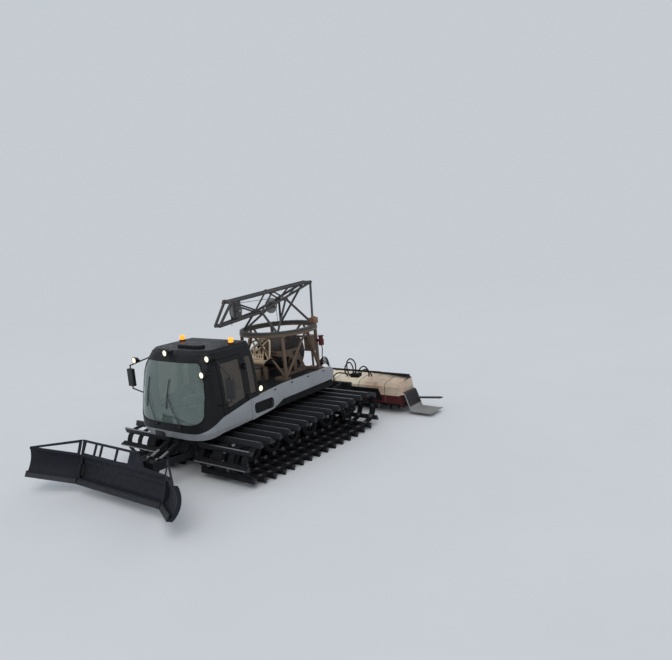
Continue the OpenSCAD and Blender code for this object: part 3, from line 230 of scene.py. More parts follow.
def circle(count, radius):
    """Evenly spaced points on a circle of that radius about X."""
    turn = np.arange(count) * 2 * np.pi / count
    return radius * np.column_stack([np.zeros(count), np.cos(turn), np.sin(turn)])


def line(a, b, count):
    """Evenly spaced points from a to b."""
    t = np.linspace(0, 1, count)[:, None]
    return np.asarray(a, float) * (1 - t) + np.asarray(b, float) * t


def bend(points, count=8):
    """Points of a bent line, evenly filled between its corners."""
    points = np.asarray(points, float)
    rows = [line(a, b, count)[:-1] for a, b in zip(points[:-1], points[1:])]
    return np.concatenate(rows + [points[-1:]])


def both(shape):
    """The shape on the machine's left and its mirror image on the right."""
    return [shape, mirrored(shape)]


def sided(shape):
    """The left and the right shape, each with its side's name."""
    return zip(("left", "right"), both(shape))


def add_piece(name, shapes, look, body, sharp=35, replaces=()):
    """Puts one closed mesh into the scene in its finish, with doubles merged and normals outwards."""
    points, faces = joined(shapes if isinstance(shapes, list) else [shapes])
    mesh = bpy.data.meshes.new(name)
    mesh.from_pydata(points.tolist(), [], faces)
    work = bmesh.new()
    work.from_mesh(mesh)
    bmesh.ops.remove_doubles(work, verts=work.verts, dist=1e-6)
    bmesh.ops.recalc_face_normals(work, faces=work.faces)
    work.to_mesh(mesh)
    work.free()
    mesh.shade_smooth()
    mesh.set_sharp_from_angle(angle=np.radians(sharp))
    obj = bpy.data.objects.new(name, mesh)
    bpy.context.scene.collection.objects.link(obj)
    mesh.materials.append(finish(look))
    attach(obj, body)
    if replaces:
        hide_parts(*replaces)
    return obj


# Cab form: outline of a level, from the sections that the solid cab runs through
# in rows of height, half width, start of the nose, tip of the nose and power of its plan curve
SECTIONS = np.array([
    [0.96, 1.1, -1.8, -2.43, 0.5],
    [1.14, 1.14, -1.85, -2.52, 0.5],
    [1.31, 1.146, -1.88, -2.52, 0.53],
    [1.5, 1.15, -1.88, -2.512, 0.57],
    [1.725, 1.146, -1.878, -2.492, 0.62],
    [1.95, 1.13, -1.87, -2.462, 0.65],
    [2.15, 1.11, -1.862, -2.427, 0.66],
    [2.35, 1.08, -1.85, -2.378, 0.66],
    [2.5, 1.047, -1.836, -2.316, 0.66],
    [2.64, 1.005, -1.82, -2.232, 0.66],
    [2.73, 0.972, -1.803, -2.16, 0.66],
    [2.79, 0.943, -1.775, -2.095, 0.66],
    [2.83, 0.91, -1.74, -2.04, 0.66],
])
# Windscreen opening: height and half width of its corners, from the bottom up
SCREEN = np.array([[1.31, 0.71], [1.35, 0.91], [1.41, 1.0], [1.5, 1.04], [1.9, 1.04], [2.2, 1.01], [2.45, 0.94],
                   [2.56, 0.89], [2.62, 0.81]])
# Upper edge of the side windows, gap between a pane and its opening, and height of the drip rail
WINDOW_TOP, PANE_GAP, RAIL_Z = 2.525, 0.0005, 2.765


def section(z):
    """Half width, start and tip of the nose and its power at height z, straight between the sections."""
    return [np.interp(z, SECTIONS[:, 0], SECTIONS[:, k]) for k in (1, 2, 3, 4)]


def nose(t, z, inset=0.0):
    """Point of the cab's front, a rounded oblong, at height z and turn t, -1 on the right and 1 on the left."""
    w, side, tip, power = section(z)
    a = t * np.pi / 2
    x = (w - inset) * np.sign(np.sin(a)) * np.abs(np.sin(a)) ** power
    y = side + inset * 0.3 - (side - tip - inset * 0.7) * np.abs(np.cos(a)) ** power
    return np.stack([x, y, z + 0 * x], -1)


def nose_turn(x, z):
    """Turn at which the cab's front has the given x at height z."""
    w, _, _, power = section(z)
    return np.sign(x) * np.arcsin(np.clip(np.abs(x) / w, 0, 1) ** (1 / power)) / (np.pi / 2)


def cab_side(y, z, inset=0.0):
    """Point of the cab's straight side at place y and height z."""
    w = section(z)[0] - inset
    return np.stack([w + 0 * y, y, z + 0 * y], -1)


# Track loop: circles joined by straight runs, walked by arc length
def loop_table():
    """Arc length, and the belts' back point and outward angle, at fine steps round the loop."""
    centres, radius = LOOP[:, :2], LOOP[:, 2]
    ahead = np.roll(centres, -1, axis=0) - centres
    gap = np.linalg.norm(ahead, axis=1)
    out = np.arctan2(ahead[:, 1], ahead[:, 0]) - np.pi / 2 + np.arcsin((radius - np.roll(radius, -1)) / gap)
    start = np.roll(out, 1)
    rows, angles = [], []
    for c, r, a, b in zip(centres, radius, start, out):
        turn = np.linspace(a, a + (b - a) % (2 * np.pi), 60)
        rows.append(c + r * np.stack([np.cos(turn), np.sin(turn)], -1))
        angles.append(turn)
    rows, angles = np.concatenate(rows), np.concatenate(angles)
    rows = np.concatenate([rows, rows[:1]])
    angles = np.unwrap(np.append(angles, angles[0]))
    step = np.linalg.norm(np.diff(rows, axis=0), axis=1)
    return np.concatenate([[0], np.cumsum(step)]), rows, angles


def loop_at(s):
    """Belts' back point and outward angle at arc length s."""
    length, rows, angles = loop_table()
    s = np.asarray(s) % length[-1]
    return np.stack([np.interp(s, length, rows[:, k]) for k in (0, 1)], -1), np.interp(s, length, angles)


def cleat_places(shift=0.0):
    """Places and outward angles of the crossbars: one stands at the sprocket's rearmost point."""
    length, rows, angles = loop_table()
    rear = length[np.argmax(rows[:, 0])]
    return loop_at(rear + (np.arange(CLEATS) + shift) * length[-1] / CLEATS)


def along_loop(profile, x0, x1, shift=0.0):
    """A profile of (along, out) points carried from x0 to x1 at every crossbar's place."""
    place, angle = cleat_places(shift)
    out = np.stack([np.cos(angle), np.sin(angle)], -1)
    ahead = np.stack([-out[:, 1], out[:, 0]], -1)
    profile = np.asarray(profile, float)
    flat = place[:, None] + profile[None, :, :1] * ahead[:, None] + profile[None, :, 1:] * out[:, None]
    rows = [np.concatenate([np.full(flat.shape[:2] + (1,), x), flat], -1) for x in (x0, x1)]
    rings = np.stack(rows, 1)
    return joined([loft(r) for r in rings])


# Materials
class Finish:
    """A procedural material, built node by node on Object coordinates."""

    def __init__(self, name):
        self.material = bpy.data.materials.new(name)
        self.material.use_nodes = True
        self.tree = self.material.node_tree
        self.tree.nodes.clear()
        self.output = self.tree.nodes.new("ShaderNodeOutputMaterial")
        self.shader = self.tree.nodes.new("ShaderNodeBsdfPrincipled")
        self.tree.links.new(self.shader.outputs[0], self.output.inputs[0])
        self.place = self.tree.nodes.new("ShaderNodeTexCoord").outputs["Object"]

    def add(self, kind, **values):
        """Adds a node; a value is a socket to link or a number to set."""
        node = self.tree.nodes.new(kind)
        for key, value in values.items():
            if key in node.inputs:
                self.put(node.inputs[key], value)
            else:
                setattr(node, key, value)
        return node

    def put(self, socket, value):
        """Links a socket, or sets its value."""
        if isinstance(value, bpy.types.NodeSocket):
            self.tree.links.new(value, socket)
        else:
            socket.default_value = value

    def stretch(self, scale, turn=(0, 0, 0)):
        """Object coordinates scaled and turned by a Mapping node."""
        return self.add("ShaderNodeMapping", Vector=self.place, Scale=scale, Rotation=turn).outputs[0]

    def noise(self, scale, detail=3.0, rough=0.55, vector=None):
        """Noise value on a vector, Object coordinates by default."""
        node = self.add("ShaderNodeTexNoise", Vector=vector or self.place, Scale=scale, Detail=detail)
        node.inputs["Roughness"].default_value = rough
        return node.outputs["Fac"]

    def wave(self, scale, way, vector=None):
        """Wave value in bands that follow each other one way."""
        node = self.add("ShaderNodeTexWave", Vector=vector or self.place, Scale=scale, bands_direction=way)
        return node.outputs["Fac"]

    def ramp(self, value, stops):
        """Colour ramp through stops of (place, colour)."""
        node = self.add("ShaderNodeValToRGB", Fac=value)
        ramp = node.color_ramp
        while len(ramp.elements) < len(stops):
            ramp.elements.new(0.5)
        for element, (at, colour) in zip(ramp.elements, stops):
            element.position = at
            element.color = tuple(colour[:3]) + (1.0,)
        return node.outputs["Color"]

    def scaled(self, value, low, high, new_low, new_high):
        """Value moved from one range to another, kept within it."""
        node = self.add("ShaderNodeMapRange", Value=value)
        for key, number in (("From Min", low), ("From Max", high), ("To Min", new_low), ("To Max", new_high)):
            node.inputs[key].default_value = number
        return node.outputs[0]

    def math(self, operation, *values):
        """Result of a Math node's operation on sockets or numbers."""
        node = self.add("ShaderNodeMath", operation=operation)
        for socket, value in zip(node.inputs, values):
            self.put(socket, value)
        return node.outputs[0]

    def axes(self):
        """The three Object coordinates, each as a socket of its own."""
        return self.add("ShaderNodeSeparateXYZ", Vector=self.place).outputs

    def blended(self, factor, a, b):
        """Sends two shaders, mixed by a factor, to the material's output."""
        node = self.add("ShaderNodeMixShader", Fac=factor)
        self.put(node.inputs[1], a)
        self.put(node.inputs[2], b)
        self.put(self.output.inputs[0], node.outputs[0])

    def mixed(self, factor, a, b):
        """Two colours mixed by a factor."""
        node = self.add("ShaderNodeMix", data_type="RGBA")
        self.put(node.inputs[0], factor)
        self.put(node.inputs[6], a)
        self.put(node.inputs[7], b)
        return node.outputs[2]

    def bump(self, height, distance, strength=1.0):
        """Bump from a height value."""
        node = self.add("ShaderNodeBump", Height=height, Distance=distance, Strength=strength)
        self.put(self.shader.inputs["Normal"], node.outputs[0])

    def set(self, **values):
        """Sets the shader's sockets; an underscore in a name stands for a space."""
        for key, value in values.items():
            self.put(self.shader.inputs[key.replace("_", " ")], value)


def rgb(colour, gain=1.0):
    """Colour times a gain, as the four numbers of a socket."""
    return tuple(min(1.0, c * gain) for c in colour[:3]) + (1.0,)


def paint_tone(f, colour, grime, dust):
    """Cloudy paint colour with grime in patches."""
    cloud = f.ramp(f.noise(1.3, 4), [(0.3, rgb(colour, 0.86)), (0.7, rgb(colour, 1.1))])
    dirt = f.scaled(f.noise(5.0, 7, 0.65), 0.52, 0.78, 0.0, grime)
    return f.mixed(dirt, cloud, rgb([0.5 * c + dust for c in colour]))


def painted(name, colour, rough=0.38, chips=0.0, metal=(0.35, 0.33, 0.31), grime=0.35, coat=0.0, shine=0.25,
            dust=0.05):
    """Sprayed paint: cloudy tone, road grime in patches, fine peel and, where asked, chips to bare metal."""
    f = Finish(name)
    tone = paint_tone(f, colour, grime, dust)
    if chips:
        flakes = f.scaled(f.noise(38.0, 8, 0.75), 0.72 - chips, 0.76 - chips, 0.0, 1.0)
        tone = f.mixed(flakes, tone, rgb(metal))
    f.set(Base_Color=tone, Metallic=0.0, Coat_Weight=coat, Coat_Roughness=0.15, Specular_IOR_Level=shine)
    f.set(Roughness=f.scaled(f.noise(9.0, 5), 0.3, 0.75, rough * 0.8, min(1.0, rough * 1.5)))
    f.bump(f.noise(260.0, 2), 0.0004, 0.5)
    return f.material


def hood_paint(name, cream, red, dark):
    """Tiller housing: red below, cream above, dark along its rear top and ends; the cream is partly painted
    warm light of the rear work lamps, and a painted pool of that light brightens it towards its middle.
    """
    f = Finish(name)
    place = f.axes()
    across = f.math("ABSOLUTE", place["X"])
    low = paint_tone(f, red, 0.5, 0.02)
    # Cream tone, partly painted warm light of the rear work lamps.
    high = paint_tone(f, cream, 0.35, 0.05)
    rosy = f.scaled(f.noise(1.1, 3, 0.5, f.stretch((1, 2, 2))), 0.42, 0.62, 0.0, 0.6)
    high = f.mixed(rosy, high, rgb((cream[0] * 1.1, cream[1] * 0.8, cream[2] * 0.78)))
    scuff = f.scaled(f.noise(1.9, 8, 0.7, f.stretch((1, 2, 2))), 0.5, 0.68, 0.0, 0.75)
    high = f.mixed(scuff, high, rgb((0.2, 0.15, 0.1)))
    # Painted light: a warm pool of the rear work lamps' light on the hood, strongest at its middle and fading
    # towards its ends.
    painted_lamp_pool = f.scaled(across, 0.75, 1.15, 0.9, 0.0)
    high = f.mixed(painted_lamp_pool, high, rgb((0.9, 0.8, 0.62)))
    tone = f.mixed(f.scaled(place["Z"], 0.535, 0.54, 0.0, 1.0), low, high)
    above = f.math("SUBTRACT", place["Z"], f.scaled(across, 1.0, 2.1, 0.9522, 0.91))
    over = f.math("ADD", above, f.scaled(across, 2.145, 2.149, 0.0, 0.03))
    tone = f.mixed(f.scaled(over, 0.0, 0.02, 0.0, 1.0), tone, rgb(dark))
    f.set(Base_Color=tone, Specular_IOR_Level=0.3, Roughness=f.scaled(f.noise(9.0, 5), 0.3, 0.75, 0.35, 0.7))
    f.bump(f.noise(40.0, 6), 0.001, 0.4)
    return f.material


def flap_paint(name, pale, dark):
    """Side finisher: pale lower sheet and front edge, dark upper leg and rear arm, worn in patches."""
    f = Finish(name)
    place = f.axes()
    front = f.scaled(place["Y"], 3.566, 3.57, 0.0, 1.0)
    leg = f.scaled(place["Z"], 0.2, 0.24, 0.0, 1.0)
    arm = f.scaled(place["Y"], 4.155, 4.158, 0.0, 1.0)
    shade = f.math("MAXIMUM", f.math("MULTIPLY", front, leg), arm)
    tone = f.mixed(shade, paint_tone(f, pale, 0.5, 0.05), paint_tone(f, dark, 0.5, 0.02))
    flakes = f.scaled(f.noise(38.0, 8, 0.75), 0.66, 0.7, 0.0, 1.0)
    f.set(Base_Color=f.mixed(flakes, tone, rgb((0.42, 0.42, 0.42))), Roughness=0.5, Specular_IOR_Level=0.25)
    f.bump(f.noise(260.0, 2), 0.0004, 0.5)
    return f.material


def bare_metal(name, colour, rough=0.35, grain=(4, 4, 220), stain=0.4):
    """Worn metal: streaks along one way, darker stains and a fine scratch bump."""
    f = Finish(name)
    streak = f.noise(3.0, 6, 0.6, f.stretch(grain))
    tone = f.ramp(streak, [(0.25, rgb(colour, 0.72)), (0.75, rgb(colour, 1.15))])
    tone = f.mixed(f.scaled(f.noise(7.0, 6), 0.5, 0.75, 0.0, stain), tone, rgb(colour, 0.35))
    f.set(Base_Color=tone, Metallic=0.85)
    f.set(Roughness=f.scaled(streak, 0.2, 0.8, rough * 0.75, rough * 1.5))
    f.bump(streak, 0.0004, 0.4)
    return f.material


def rubbery(name, colour, rough=0.8, dust=(0.05, 0.05, 0.055)):
    """Rubber: dark and matt, with pale dust in patches and a pebbled surface."""
    f = Finish(name)
    tone = f.ramp(f.noise(3.0, 5), [(0.3, rgb(colour, 0.8)), (0.75, rgb(colour, 1.3))])
    tone = f.mixed(f.scaled(f.noise(11.0, 8, 0.7), 0.5, 0.85, 0.0, 0.5), tone, rgb(dust))
    f.set(Base_Color=tone, Roughness=f.scaled(f.noise(6.0, 3), 0.3, 0.7, rough * 0.85, min(1.0, rough * 1.1)))
    f.set(Specular_IOR_Level=0.2)
    f.bump(f.noise(140.0, 4), 0.001, 0.5)
    return f.material


def tinted(name, colour, clear=0.9):
    """Tinted glass with faint dust and a very smooth face: light and lamps' light pass and take the tint."""
    f = Finish(name)
    dust = f.scaled(f.noise(2.2, 6, 0.6), 0.45, 0.8, 0.0, 0.12)
    f.set(Base_Color=f.mixed(dust, rgb(colour), rgb(colour, 0.6)))
    f.set(Roughness=f.scaled(f.noise(6.0, 5), 0.35, 0.8, 0.0, 0.04))
    f.set(IOR=1.45, Transmission_Weight=clear, Specular_IOR_Level=0.5)
    lit = f.add("ShaderNodeBsdfTransparent", Color=rgb([c ** 0.5 for c in colour]))
    f.blended(f.add("ShaderNodeLightPath").outputs["Is Shadow Ray"], f.shader.outputs[0], lit.outputs[0])
    return f.material


def moulded(name, colour, rough=0.55):
    """Moulded plastic: even tone with a fine leather grain."""
    f = Finish(name)
    tone = f.ramp(f.noise(4.0, 4), [(0.3, rgb(colour, 0.85)), (0.7, rgb(colour, 1.2))])
    cells = f.add("ShaderNodeTexVoronoi", Vector=f.place, Scale=420.0).outputs["Distance"]
    f.set(Base_Color=tone, Roughness=f.scaled(f.noise(18.0, 4), 0.3, 0.7, rough * 0.85, rough * 1.25))
    f.bump(cells, 0.0006, 0.4)
    return f.material


def woven(name, colour):
    """Woven cloth: two crossed sets of fine waves, with flecked yarn and a soft sheen."""
    f = Finish(name)
    weave = f.math("MULTIPLY", f.wave(130.0, "X"), f.wave(130.0, "DIAGONAL"))
    tone = f.ramp(weave, [(0.0, rgb(colour, 0.6)), (1.0, rgb(colour, 1.5))])
    tone = f.mixed(f.scaled(f.noise(60.0, 5), 0.55, 0.75, 0.0, 0.4), tone, rgb(colour, 2.0))
    f.set(Base_Color=tone, Roughness=0.9, Sheen_Weight=0.3, Sheen_Roughness=0.5)
    f.bump(weave, 0.001, 0.7)
    return f.material


def glowing(name, colour, strength, rough=0.25):
    """Lit lens: ribbed plastic that gives light of its own."""
    f = Finish(name)
    rings = f.wave(40.0, "Z")
    tone = f.ramp(rings, [(0.0, rgb(colour, 0.8)), (1.0, rgb(colour, 1.0))])
    f.set(Base_Color=tone, Roughness=rough, Emission_Color=tone, Emission_Strength=strength)
    f.bump(rings, 0.001, 0.3)
    return f.material


def stranded(name, colour):
    """Wire rope: lay lines wind round it, seen as slanted waves."""
    f = Finish(name)
    lay = f.wave(60.0, "X", f.stretch((1, 1, 1), (0.5, 0.6, 0)))
    tone = f.ramp(lay, [(0.1, rgb(colour, 0.35)), (0.8, rgb(colour, 1.2))])
    f.set(Base_Color=tone, Metallic=0.8, Roughness=f.scaled(f.noise(30.0, 4), 0.3, 0.7, 0.35, 0.6))
    f.bump(lay, 0.002, 0.8)
    return f.material


# Finishes: each takes the colours and lights that a user may set
FINISHES = {
    "silver": lambda look: painted("silver_paint", look.silver, 0.36, grime=0.3, coat=0.12, shine=0.4),
    "black": lambda look: painted("black_paint", look.black, 0.4, grime=0.25, shine=0.22, dust=0.015),
    "blade": lambda look: painted("blade_paint", look.blade, 0.5, 0.02, (0.12, 0.12, 0.13), 0.4, shine=0.2,
                                  dust=0.02),
    "frame": lambda look: painted("frame_paint", (0.012, 0.0125, 0.015), 0.55, 0.015, (0.1, 0.1, 0.1), 0.4,
                                  shine=0.2, dust=0.02),
    "winch": lambda look: painted("winch_paint", look.winch, 0.5, 0.05, (0.2, 0.15, 0.11), 0.5, dust=0.03),
    "drum": lambda look: painted("drum_paint", (0.028, 0.022, 0.02), 0.5, 0.04, (0.14, 0.1, 0.07), 0.4,
                                 dust=0.02),
    "boom": lambda look: painted("boom_paint", look.boom, 0.5, 0.04, (0.2, 0.19, 0.18), 0.4, dust=0.03),
    "hood": lambda look: hood_paint("hood_paint", look.cream, (0.075, 0.013, 0.013), (0.012, 0.012, 0.013)),
    "copper": lambda look: painted("copper_paint", (0.2, 0.115, 0.075), 0.5, 0.1, (0.42, 0.3, 0.22), 0.7),
    "wine": lambda look: painted("wine_paint", (0.07, 0.014, 0.012), 0.45, 0.04, (0.2, 0.1, 0.08), 0.5,
                                 dust=0.02),
    "grey": lambda look: flap_paint("flap_paint", (0.3, 0.3, 0.295), (0.035, 0.032, 0.036)),
    "steel": lambda look: bare_metal("bare_steel", (0.3, 0.3, 0.3)),
    "pipe": lambda look: painted("pipe_paint", look.pipes, 0.35, 0.04, (0.3, 0.22, 0.16), 0.5, shine=0.5),
    # Crossbars: their dark tone is partly dirt and partly painted shade.
    "bars": lambda look: painted("bar_dirt_and_shade_paint", look.bars, 0.5, 0.05, (0.16, 0.16, 0.17), 0.4, shine=0.3,
                                 dust=0.02),
    # Light steel strips on the crossbars' tips: a painted highlight where the tips catch the light.
    "edge": lambda look: bare_metal("tip_highlight_steel", (0.34, 0.34, 0.35), 0.4, (200, 5, 5), 0.5),
    "cutter": lambda look: bare_metal("cutter_steel", (0.055, 0.055, 0.06), 0.5, (200, 5, 5), 0.5),
    "iron": lambda look: painted("engine_iron", (0.03, 0.03, 0.03), 0.65, 0.02),
    "rubber": lambda look: rubbery("belt_rubber", (0.008, 0.008, 0.01)),
    "tyre": lambda look: rubbery("tyre_rubber", (0.01, 0.01, 0.011), 0.75),
    "comb": lambda look: rubbery("comb_rubber", (0.02, 0.02, 0.023), 0.6, (0.12, 0.12, 0.12)),
    "glass": lambda look: tinted("screen_glass", look.glass),
    "side_glass": lambda look: tinted("side_glass", look.side_glass, 0.72),
    "plastic": lambda look: moulded("black_plastic", (0.012, 0.012, 0.014)),
    "gasket": lambda look: rubbery("gasket_rubber", (0.006, 0.006, 0.007), 0.5, (0.02, 0.02, 0.02)),
    "cloth": lambda look: woven("seat_cloth", (0.035, 0.038, 0.045)),
    "lamp": lambda look: glowing("lamp_lens", (1.0, 0.88, 0.6), look.lamp_power),
    "beacon": lambda look: glowing("beacon_lens", (1.0, 0.3, 0.02), look.beacon_power),
    "mirror": lambda look: bare_metal("mirror_face", (0.8, 0.82, 0.84), 0.05, (3, 3, 3), 0.05),
    "cable": lambda look: stranded("cable_steel", (0.1, 0.09, 0.08)),
}
MADE = {}


def finish(name):
    """The finish of that name, made once."""
    if name not in MADE:
        MADE[name] = FINISHES[name](bpy.context.scene.groomer_looks)
    return MADE[name]


# Solids that keep their own shape, by finish
SOLIDS = {
    "frame": "chassis suspension rims_left rims_right sprocket_left sprocket_right rear_body lift_frame"
             " blade_head blade_turret tiller_carrier tiller_shaft",
    "iron": "engine_block",
    "rubber": "track_left track_right",
    "black": "cab_shell door_left door_right lift_barrels tiller_barrels",
    "side_glass": "cab_glass door_glass_left door_glass_right",
    "glass": "windscreen",
    "silver": "belt_front side_panel_left side_panel_right",
    "plastic": "vent_grilles dashboard mirrors",
    "steel": "exhaust head_sheave axis_sheave lift_rods tiller_rods",
    "winch": "rear_rack winch_frame winch_tower rope_guide",
    "drum": "winch_drum",
    "boom": "boom_ring boom",
    "cable": "winch_cable",
    "blade": "blade_main blade_wing_left blade_wing_right",
    "hood": "tiller_hood",
    "comb": "finisher",
    "grey": "side_finisher_left side_finisher_right",
}


# Settings
def colour_setting(label, description, default):
    """A colour that a user may change."""
    return FloatVectorProperty(name=label, description=description, subtype="COLOR", default=default)


def light_setting(label, description, default):
    """The strength of a lens's own light."""
    return FloatProperty(name=label, description=description, default=default, min=0.0, max=50.0)


def length_setting(label, description, default, low, high):
    """A length in metres that a user may change."""
    return FloatProperty(name=label, description=description, default=default, min=low, max=high,
                         subtype="DISTANCE", unit="LENGTH")


class GroomerLooks(bpy.types.PropertyGroup):
    """Colours and light of the finishes."""

    silver: colour_setting("Belt panels", "Colour of the belt panels", (0.3, 0.315, 0.335))
    black: colour_setting("Cab frame", "Colour of the cab frame and doors", (0.008, 0.0085, 0.01))
    blade: colour_setting("Blade", "Colour of the blade and its wings", (0.0115, 0.013, 0.02))
    winch: colour_setting("Winch", "Colour of the winch's tower and frame", (0.14, 0.098, 0.07))
    boom: colour_setting("Boom", "Colour of the boom's tubes", (0.062, 0.06, 0.06))
    # The hood's cream is partly painted warm light of the rear work lamps.
    cream: colour_setting("Tiller hood", "Colour of the tiller's hood", (0.56, 0.47, 0.36))
    pipes: colour_setting("Winch pipes", "Colour of the pipes and valves at the winch", (0.62, 0.48, 0.33))
    # The crossbars' dark tone is partly dirt and partly painted shade.
    bars: colour_setting("Crossbars", "Colour of the track's crossbars", (0.02, 0.021, 0.025))
    glass: colour_setting("Windscreen", "Tint of the windscreen", (0.6, 0.74, 0.7))
    side_glass: colour_setting("Side windows", "Tint of the doors' and rear windows", (0.15, 0.125, 0.095))
    lamp_power: light_setting("Work lamps", "Light of the work lamps' lenses", 1.3)
    beacon_power: light_setting("Beacons", "Light of the beacons' lenses", 1.6)


class GroomerSizes(bpy.types.PropertyGroup):
    """Sizes of the added trim."""

    gasket_r: length_setting("Gasket", "Radius of the rubber gasket round the windows", 0.014, 0.005, 0.03)
    bolt_r: length_setting("Bolts", "Radius of the slewing ring's bolt heads", 0.014, 0.006, 0.02)
    rope_pitch: length_setting("Rope pitch", "Distance between the rope's turns on the drum", 0.014, 0.01, 0.03)
    comb_pitch: length_setting("Comb pitch", "Distance between the finisher's ridges", 0.045, 0.02, 0.1)
    floor_size: length_setting("Floor", "Radius of the stage's floor", 60.0, 10.0, 200.0)


class GROOMER_OT_finishes(bpy.types.Operator):
    """Give every solid of the model its finish"""

    bl_idname = "groomer.finishes"
    bl_label = "Finish the solids"

    def execute(self, context):
        for look, nodes in SOLIDS.items():
            for node in nodes.split():
                mesh = NODES[node].data
                mesh.materials.clear()
                mesh.materials.append(finish(look))
        return {"FINISHED"}


class GROOMER_OT_tracks(bpy.types.Operator):
    """Add the crossbars' faces, dark with dirt and painted shade, and light strips on their tips that are
    painted highlights, the belts' guides and clips
    """

    bl_idname = "groomer.tracks"
    bl_label = "Add the crossbars"

    def execute(self, context):
        h, foot = CLEAT_H + 0.0006, 0.0512
        face = [[-foot, 0.001], [foot, 0.001], [foot, 0.0226], [0.012, h], [-0.012, h], [-foot, 0.0226]]
        # The tip strip is a painted highlight along the top of each crossbar.
        edge = [[-0.0145, h - 0.022], [0.0145, h - 0.022], [0.0125, h + 0.0004], [-0.0125, h + 0.0004]]
        belt_x = [TRACK_IN + c for c in (0.11, 0.61, 1.04, 1.43)]
        back = -0.0135
        guide = [[-0.045, -0.075], [-0.03, -0.083], [0.03, -0.083], [0.045, -0.075], [0.055, back],
                 [-0.055, back]]
        clip = [[-0.04, -0.0205], [0.04, -0.0205], [0.05, back], [-0.05, back]]
        nut = np.array([[-0.022, -0.0275], [-0.006, -0.0275], [-0.006, -0.02], [-0.022, -0.02]])
        guide_x = [WHEEL_X + offset for offset in (-0.128, 0.128)]
        left = {
            "crossbars": ("bars", [along_loop(face, TRACK_IN - 0.001, TRACK_OUT + 0.001)]),
            "crossbar_tip_highlights": ("edge", [along_loop(edge, TRACK_IN + 0.02, TRACK_OUT - 0.02)]),
            "track_guides": ("steel", [along_loop(guide, x - 0.009, x + 0.009) for x in guide_x]),
            "track_clips": ("steel", [along_loop(clip, x - 0.045, x + 0.045) for x in belt_x]
                            + [along_loop(nut + [k, 0], x - 0.008, x + 0.008)
                               for x in belt_x for k in (0.0, 0.028)]),
        }
        for name, (look, shapes) in left.items():
            for side, shape in sided(joined(shapes)):
                add_piece(name + "_" + side, shape, look, "machine")
        return {"FINISHED"}


def tyre_shape():
    """Tyre about Z: tread with three grooves, rounded shoulders and bulged side walls round the rim."""
    r, rim, half = WHEEL_R - 0.0008, WHEEL_R * 0.62 + 0.0006, TYRE_W / 2
    tread = []
    for mid in (-0.045, 0.0, 0.045):
        tread += [[r, mid - 0.007], [r - 0.01, mid - 0.005], [r - 0.01, mid + 0.005], [r, mid + 0.007]]
    side = [[r, half * 0.66], [r - 0.012, half * 0.84], [r - 0.04, half * 0.985], [r - 0.075, half * 0.96],
            [rim + 0.015, half * 0.86], [rim, half * 0.82]]
    mirror_side = [[a, -b] for a, b in side[::-1]]
    return ring_lathe(mirror_side + tread + side, 72)


class GROOMER_OT_wheels(bpy.types.Operator):
    """Replace the plain tyres with treaded ones and add hub caps and wheel bolts"""

    bl_idname = "groomer.wheels"
    bl_label = "Add tyres and hubs"

    def execute(self, context):
        places = np.column_stack([np.full(len(WHEELS), WHEEL_X), WHEELS])
        tyres = stamped(facing(tyre_shape(), [1, 0, 0]), places)
        face, out = [TYRE_W / 2, 0, 0], [1, 0, 0]
        cap = lathe([[0.046, -0.004], [0.046, 0.012], [0.04, 0.022], [0.024, 0.029], [0.008, 0.031]], 28)
        caps = stamped(facing(cap, out), places + face)
        near, far = circle(6, 0.059), circle(6, 0.16)
        hub = [1.3825, *SPROCKET] + circle(12, 0.19)
        nuts = joined([
            bolts(places[:, None] + face + near, out, 0.007, 0.009),
            bolts(places[:, None] + [0.009, 0, 0] + far, out, 0.009, 0.01),
            bolts(hub, out, 0.012, 0.012),
        ])
        for (side, tyre), cap, nut in zip(sided(tyres), both(caps), both(nuts)):
            add_piece("treaded_tyres_" + side, tyre, "tyre", "machine",
                      replaces=["tyres_" + side])
            add_piece("hub_caps_" + side, cap, "steel", "machine")
            add_piece("wheel_nuts_" + side, nut, "steel", "machine")
        return {"FINISHED"}


def screen_sheet(inset, rows=40, cols=64):
    """Windscreen grid at an inset from the cab's form: each row runs between the opening's slanted sides."""
    z = np.linspace(SCREEN[0, 0] + PANE_GAP, SCREEN[-1, 0] - PANE_GAP, rows)
    reach = np.interp(z, SCREEN[:, 0], SCREEN[:, 1]) - PANE_GAP
    end = nose_turn(reach, z)
    t = np.linspace(-1, 1, cols)[None, :] * end[:, None]
    return nose(t, z[:, None] + 0 * t, inset)


def screen_border(inset, count=24):
    """Path along the windscreen's opening on the cab's form: up its left side, across, down and back."""
    up = SCREEN[:, ::-1]
    corners = np.concatenate([up, up[::-1] * [-1, 1], up[:1]])
    rows = bend(corners, count)[:-1]
    return nose(nose_turn(rows[:, 0], rows[:, 1]), rows[:, 1], inset)


def side_pane(y, z):
    """Pane on the cab's left side from grids of place and height: a closed sheet just inside its form."""
    return shell(cab_side(y, z, 0.008), cab_side(y, z, 0.015))


def door_pane():
    """Door's pane: its lower edge rises along the belt and its upper front corner is cut."""
    u = np.linspace(0, 1, 8)[None, :]
    v = np.linspace(0, 1, 16)[:, None]
    y = -1.7845 + u * 0.579
    low, high = belt_top(y) + 0.1155, WINDOW_TOP - PANE_GAP
    z = low + v * (high - low)
    return side_pane(y + (1 - u) * np.interp(z, [2.41, high], [0, 0.045]), z)


def window_path(corners, inset, count=12):
    """Closed path through corners of (y, z) on the cab's left side, on its form."""
    y, z = bend(corners + corners[:1], count)[:-1].T
    return cab_side(y, z, inset)


def belt_top(y):
    """Height of the belt's upper edge at place y."""
    return np.interp(y, [-2.45, -1.9, -1.05, 0.1], [1.14, 1.39, 1.56, 1.65])


def closed_tube(path, radius, sides=8):
    """Tube along a closed path: its first points are repeated so that the ends meet inside it."""
    return tube(np.concatenate([path, path[:2]]), radius, sides)


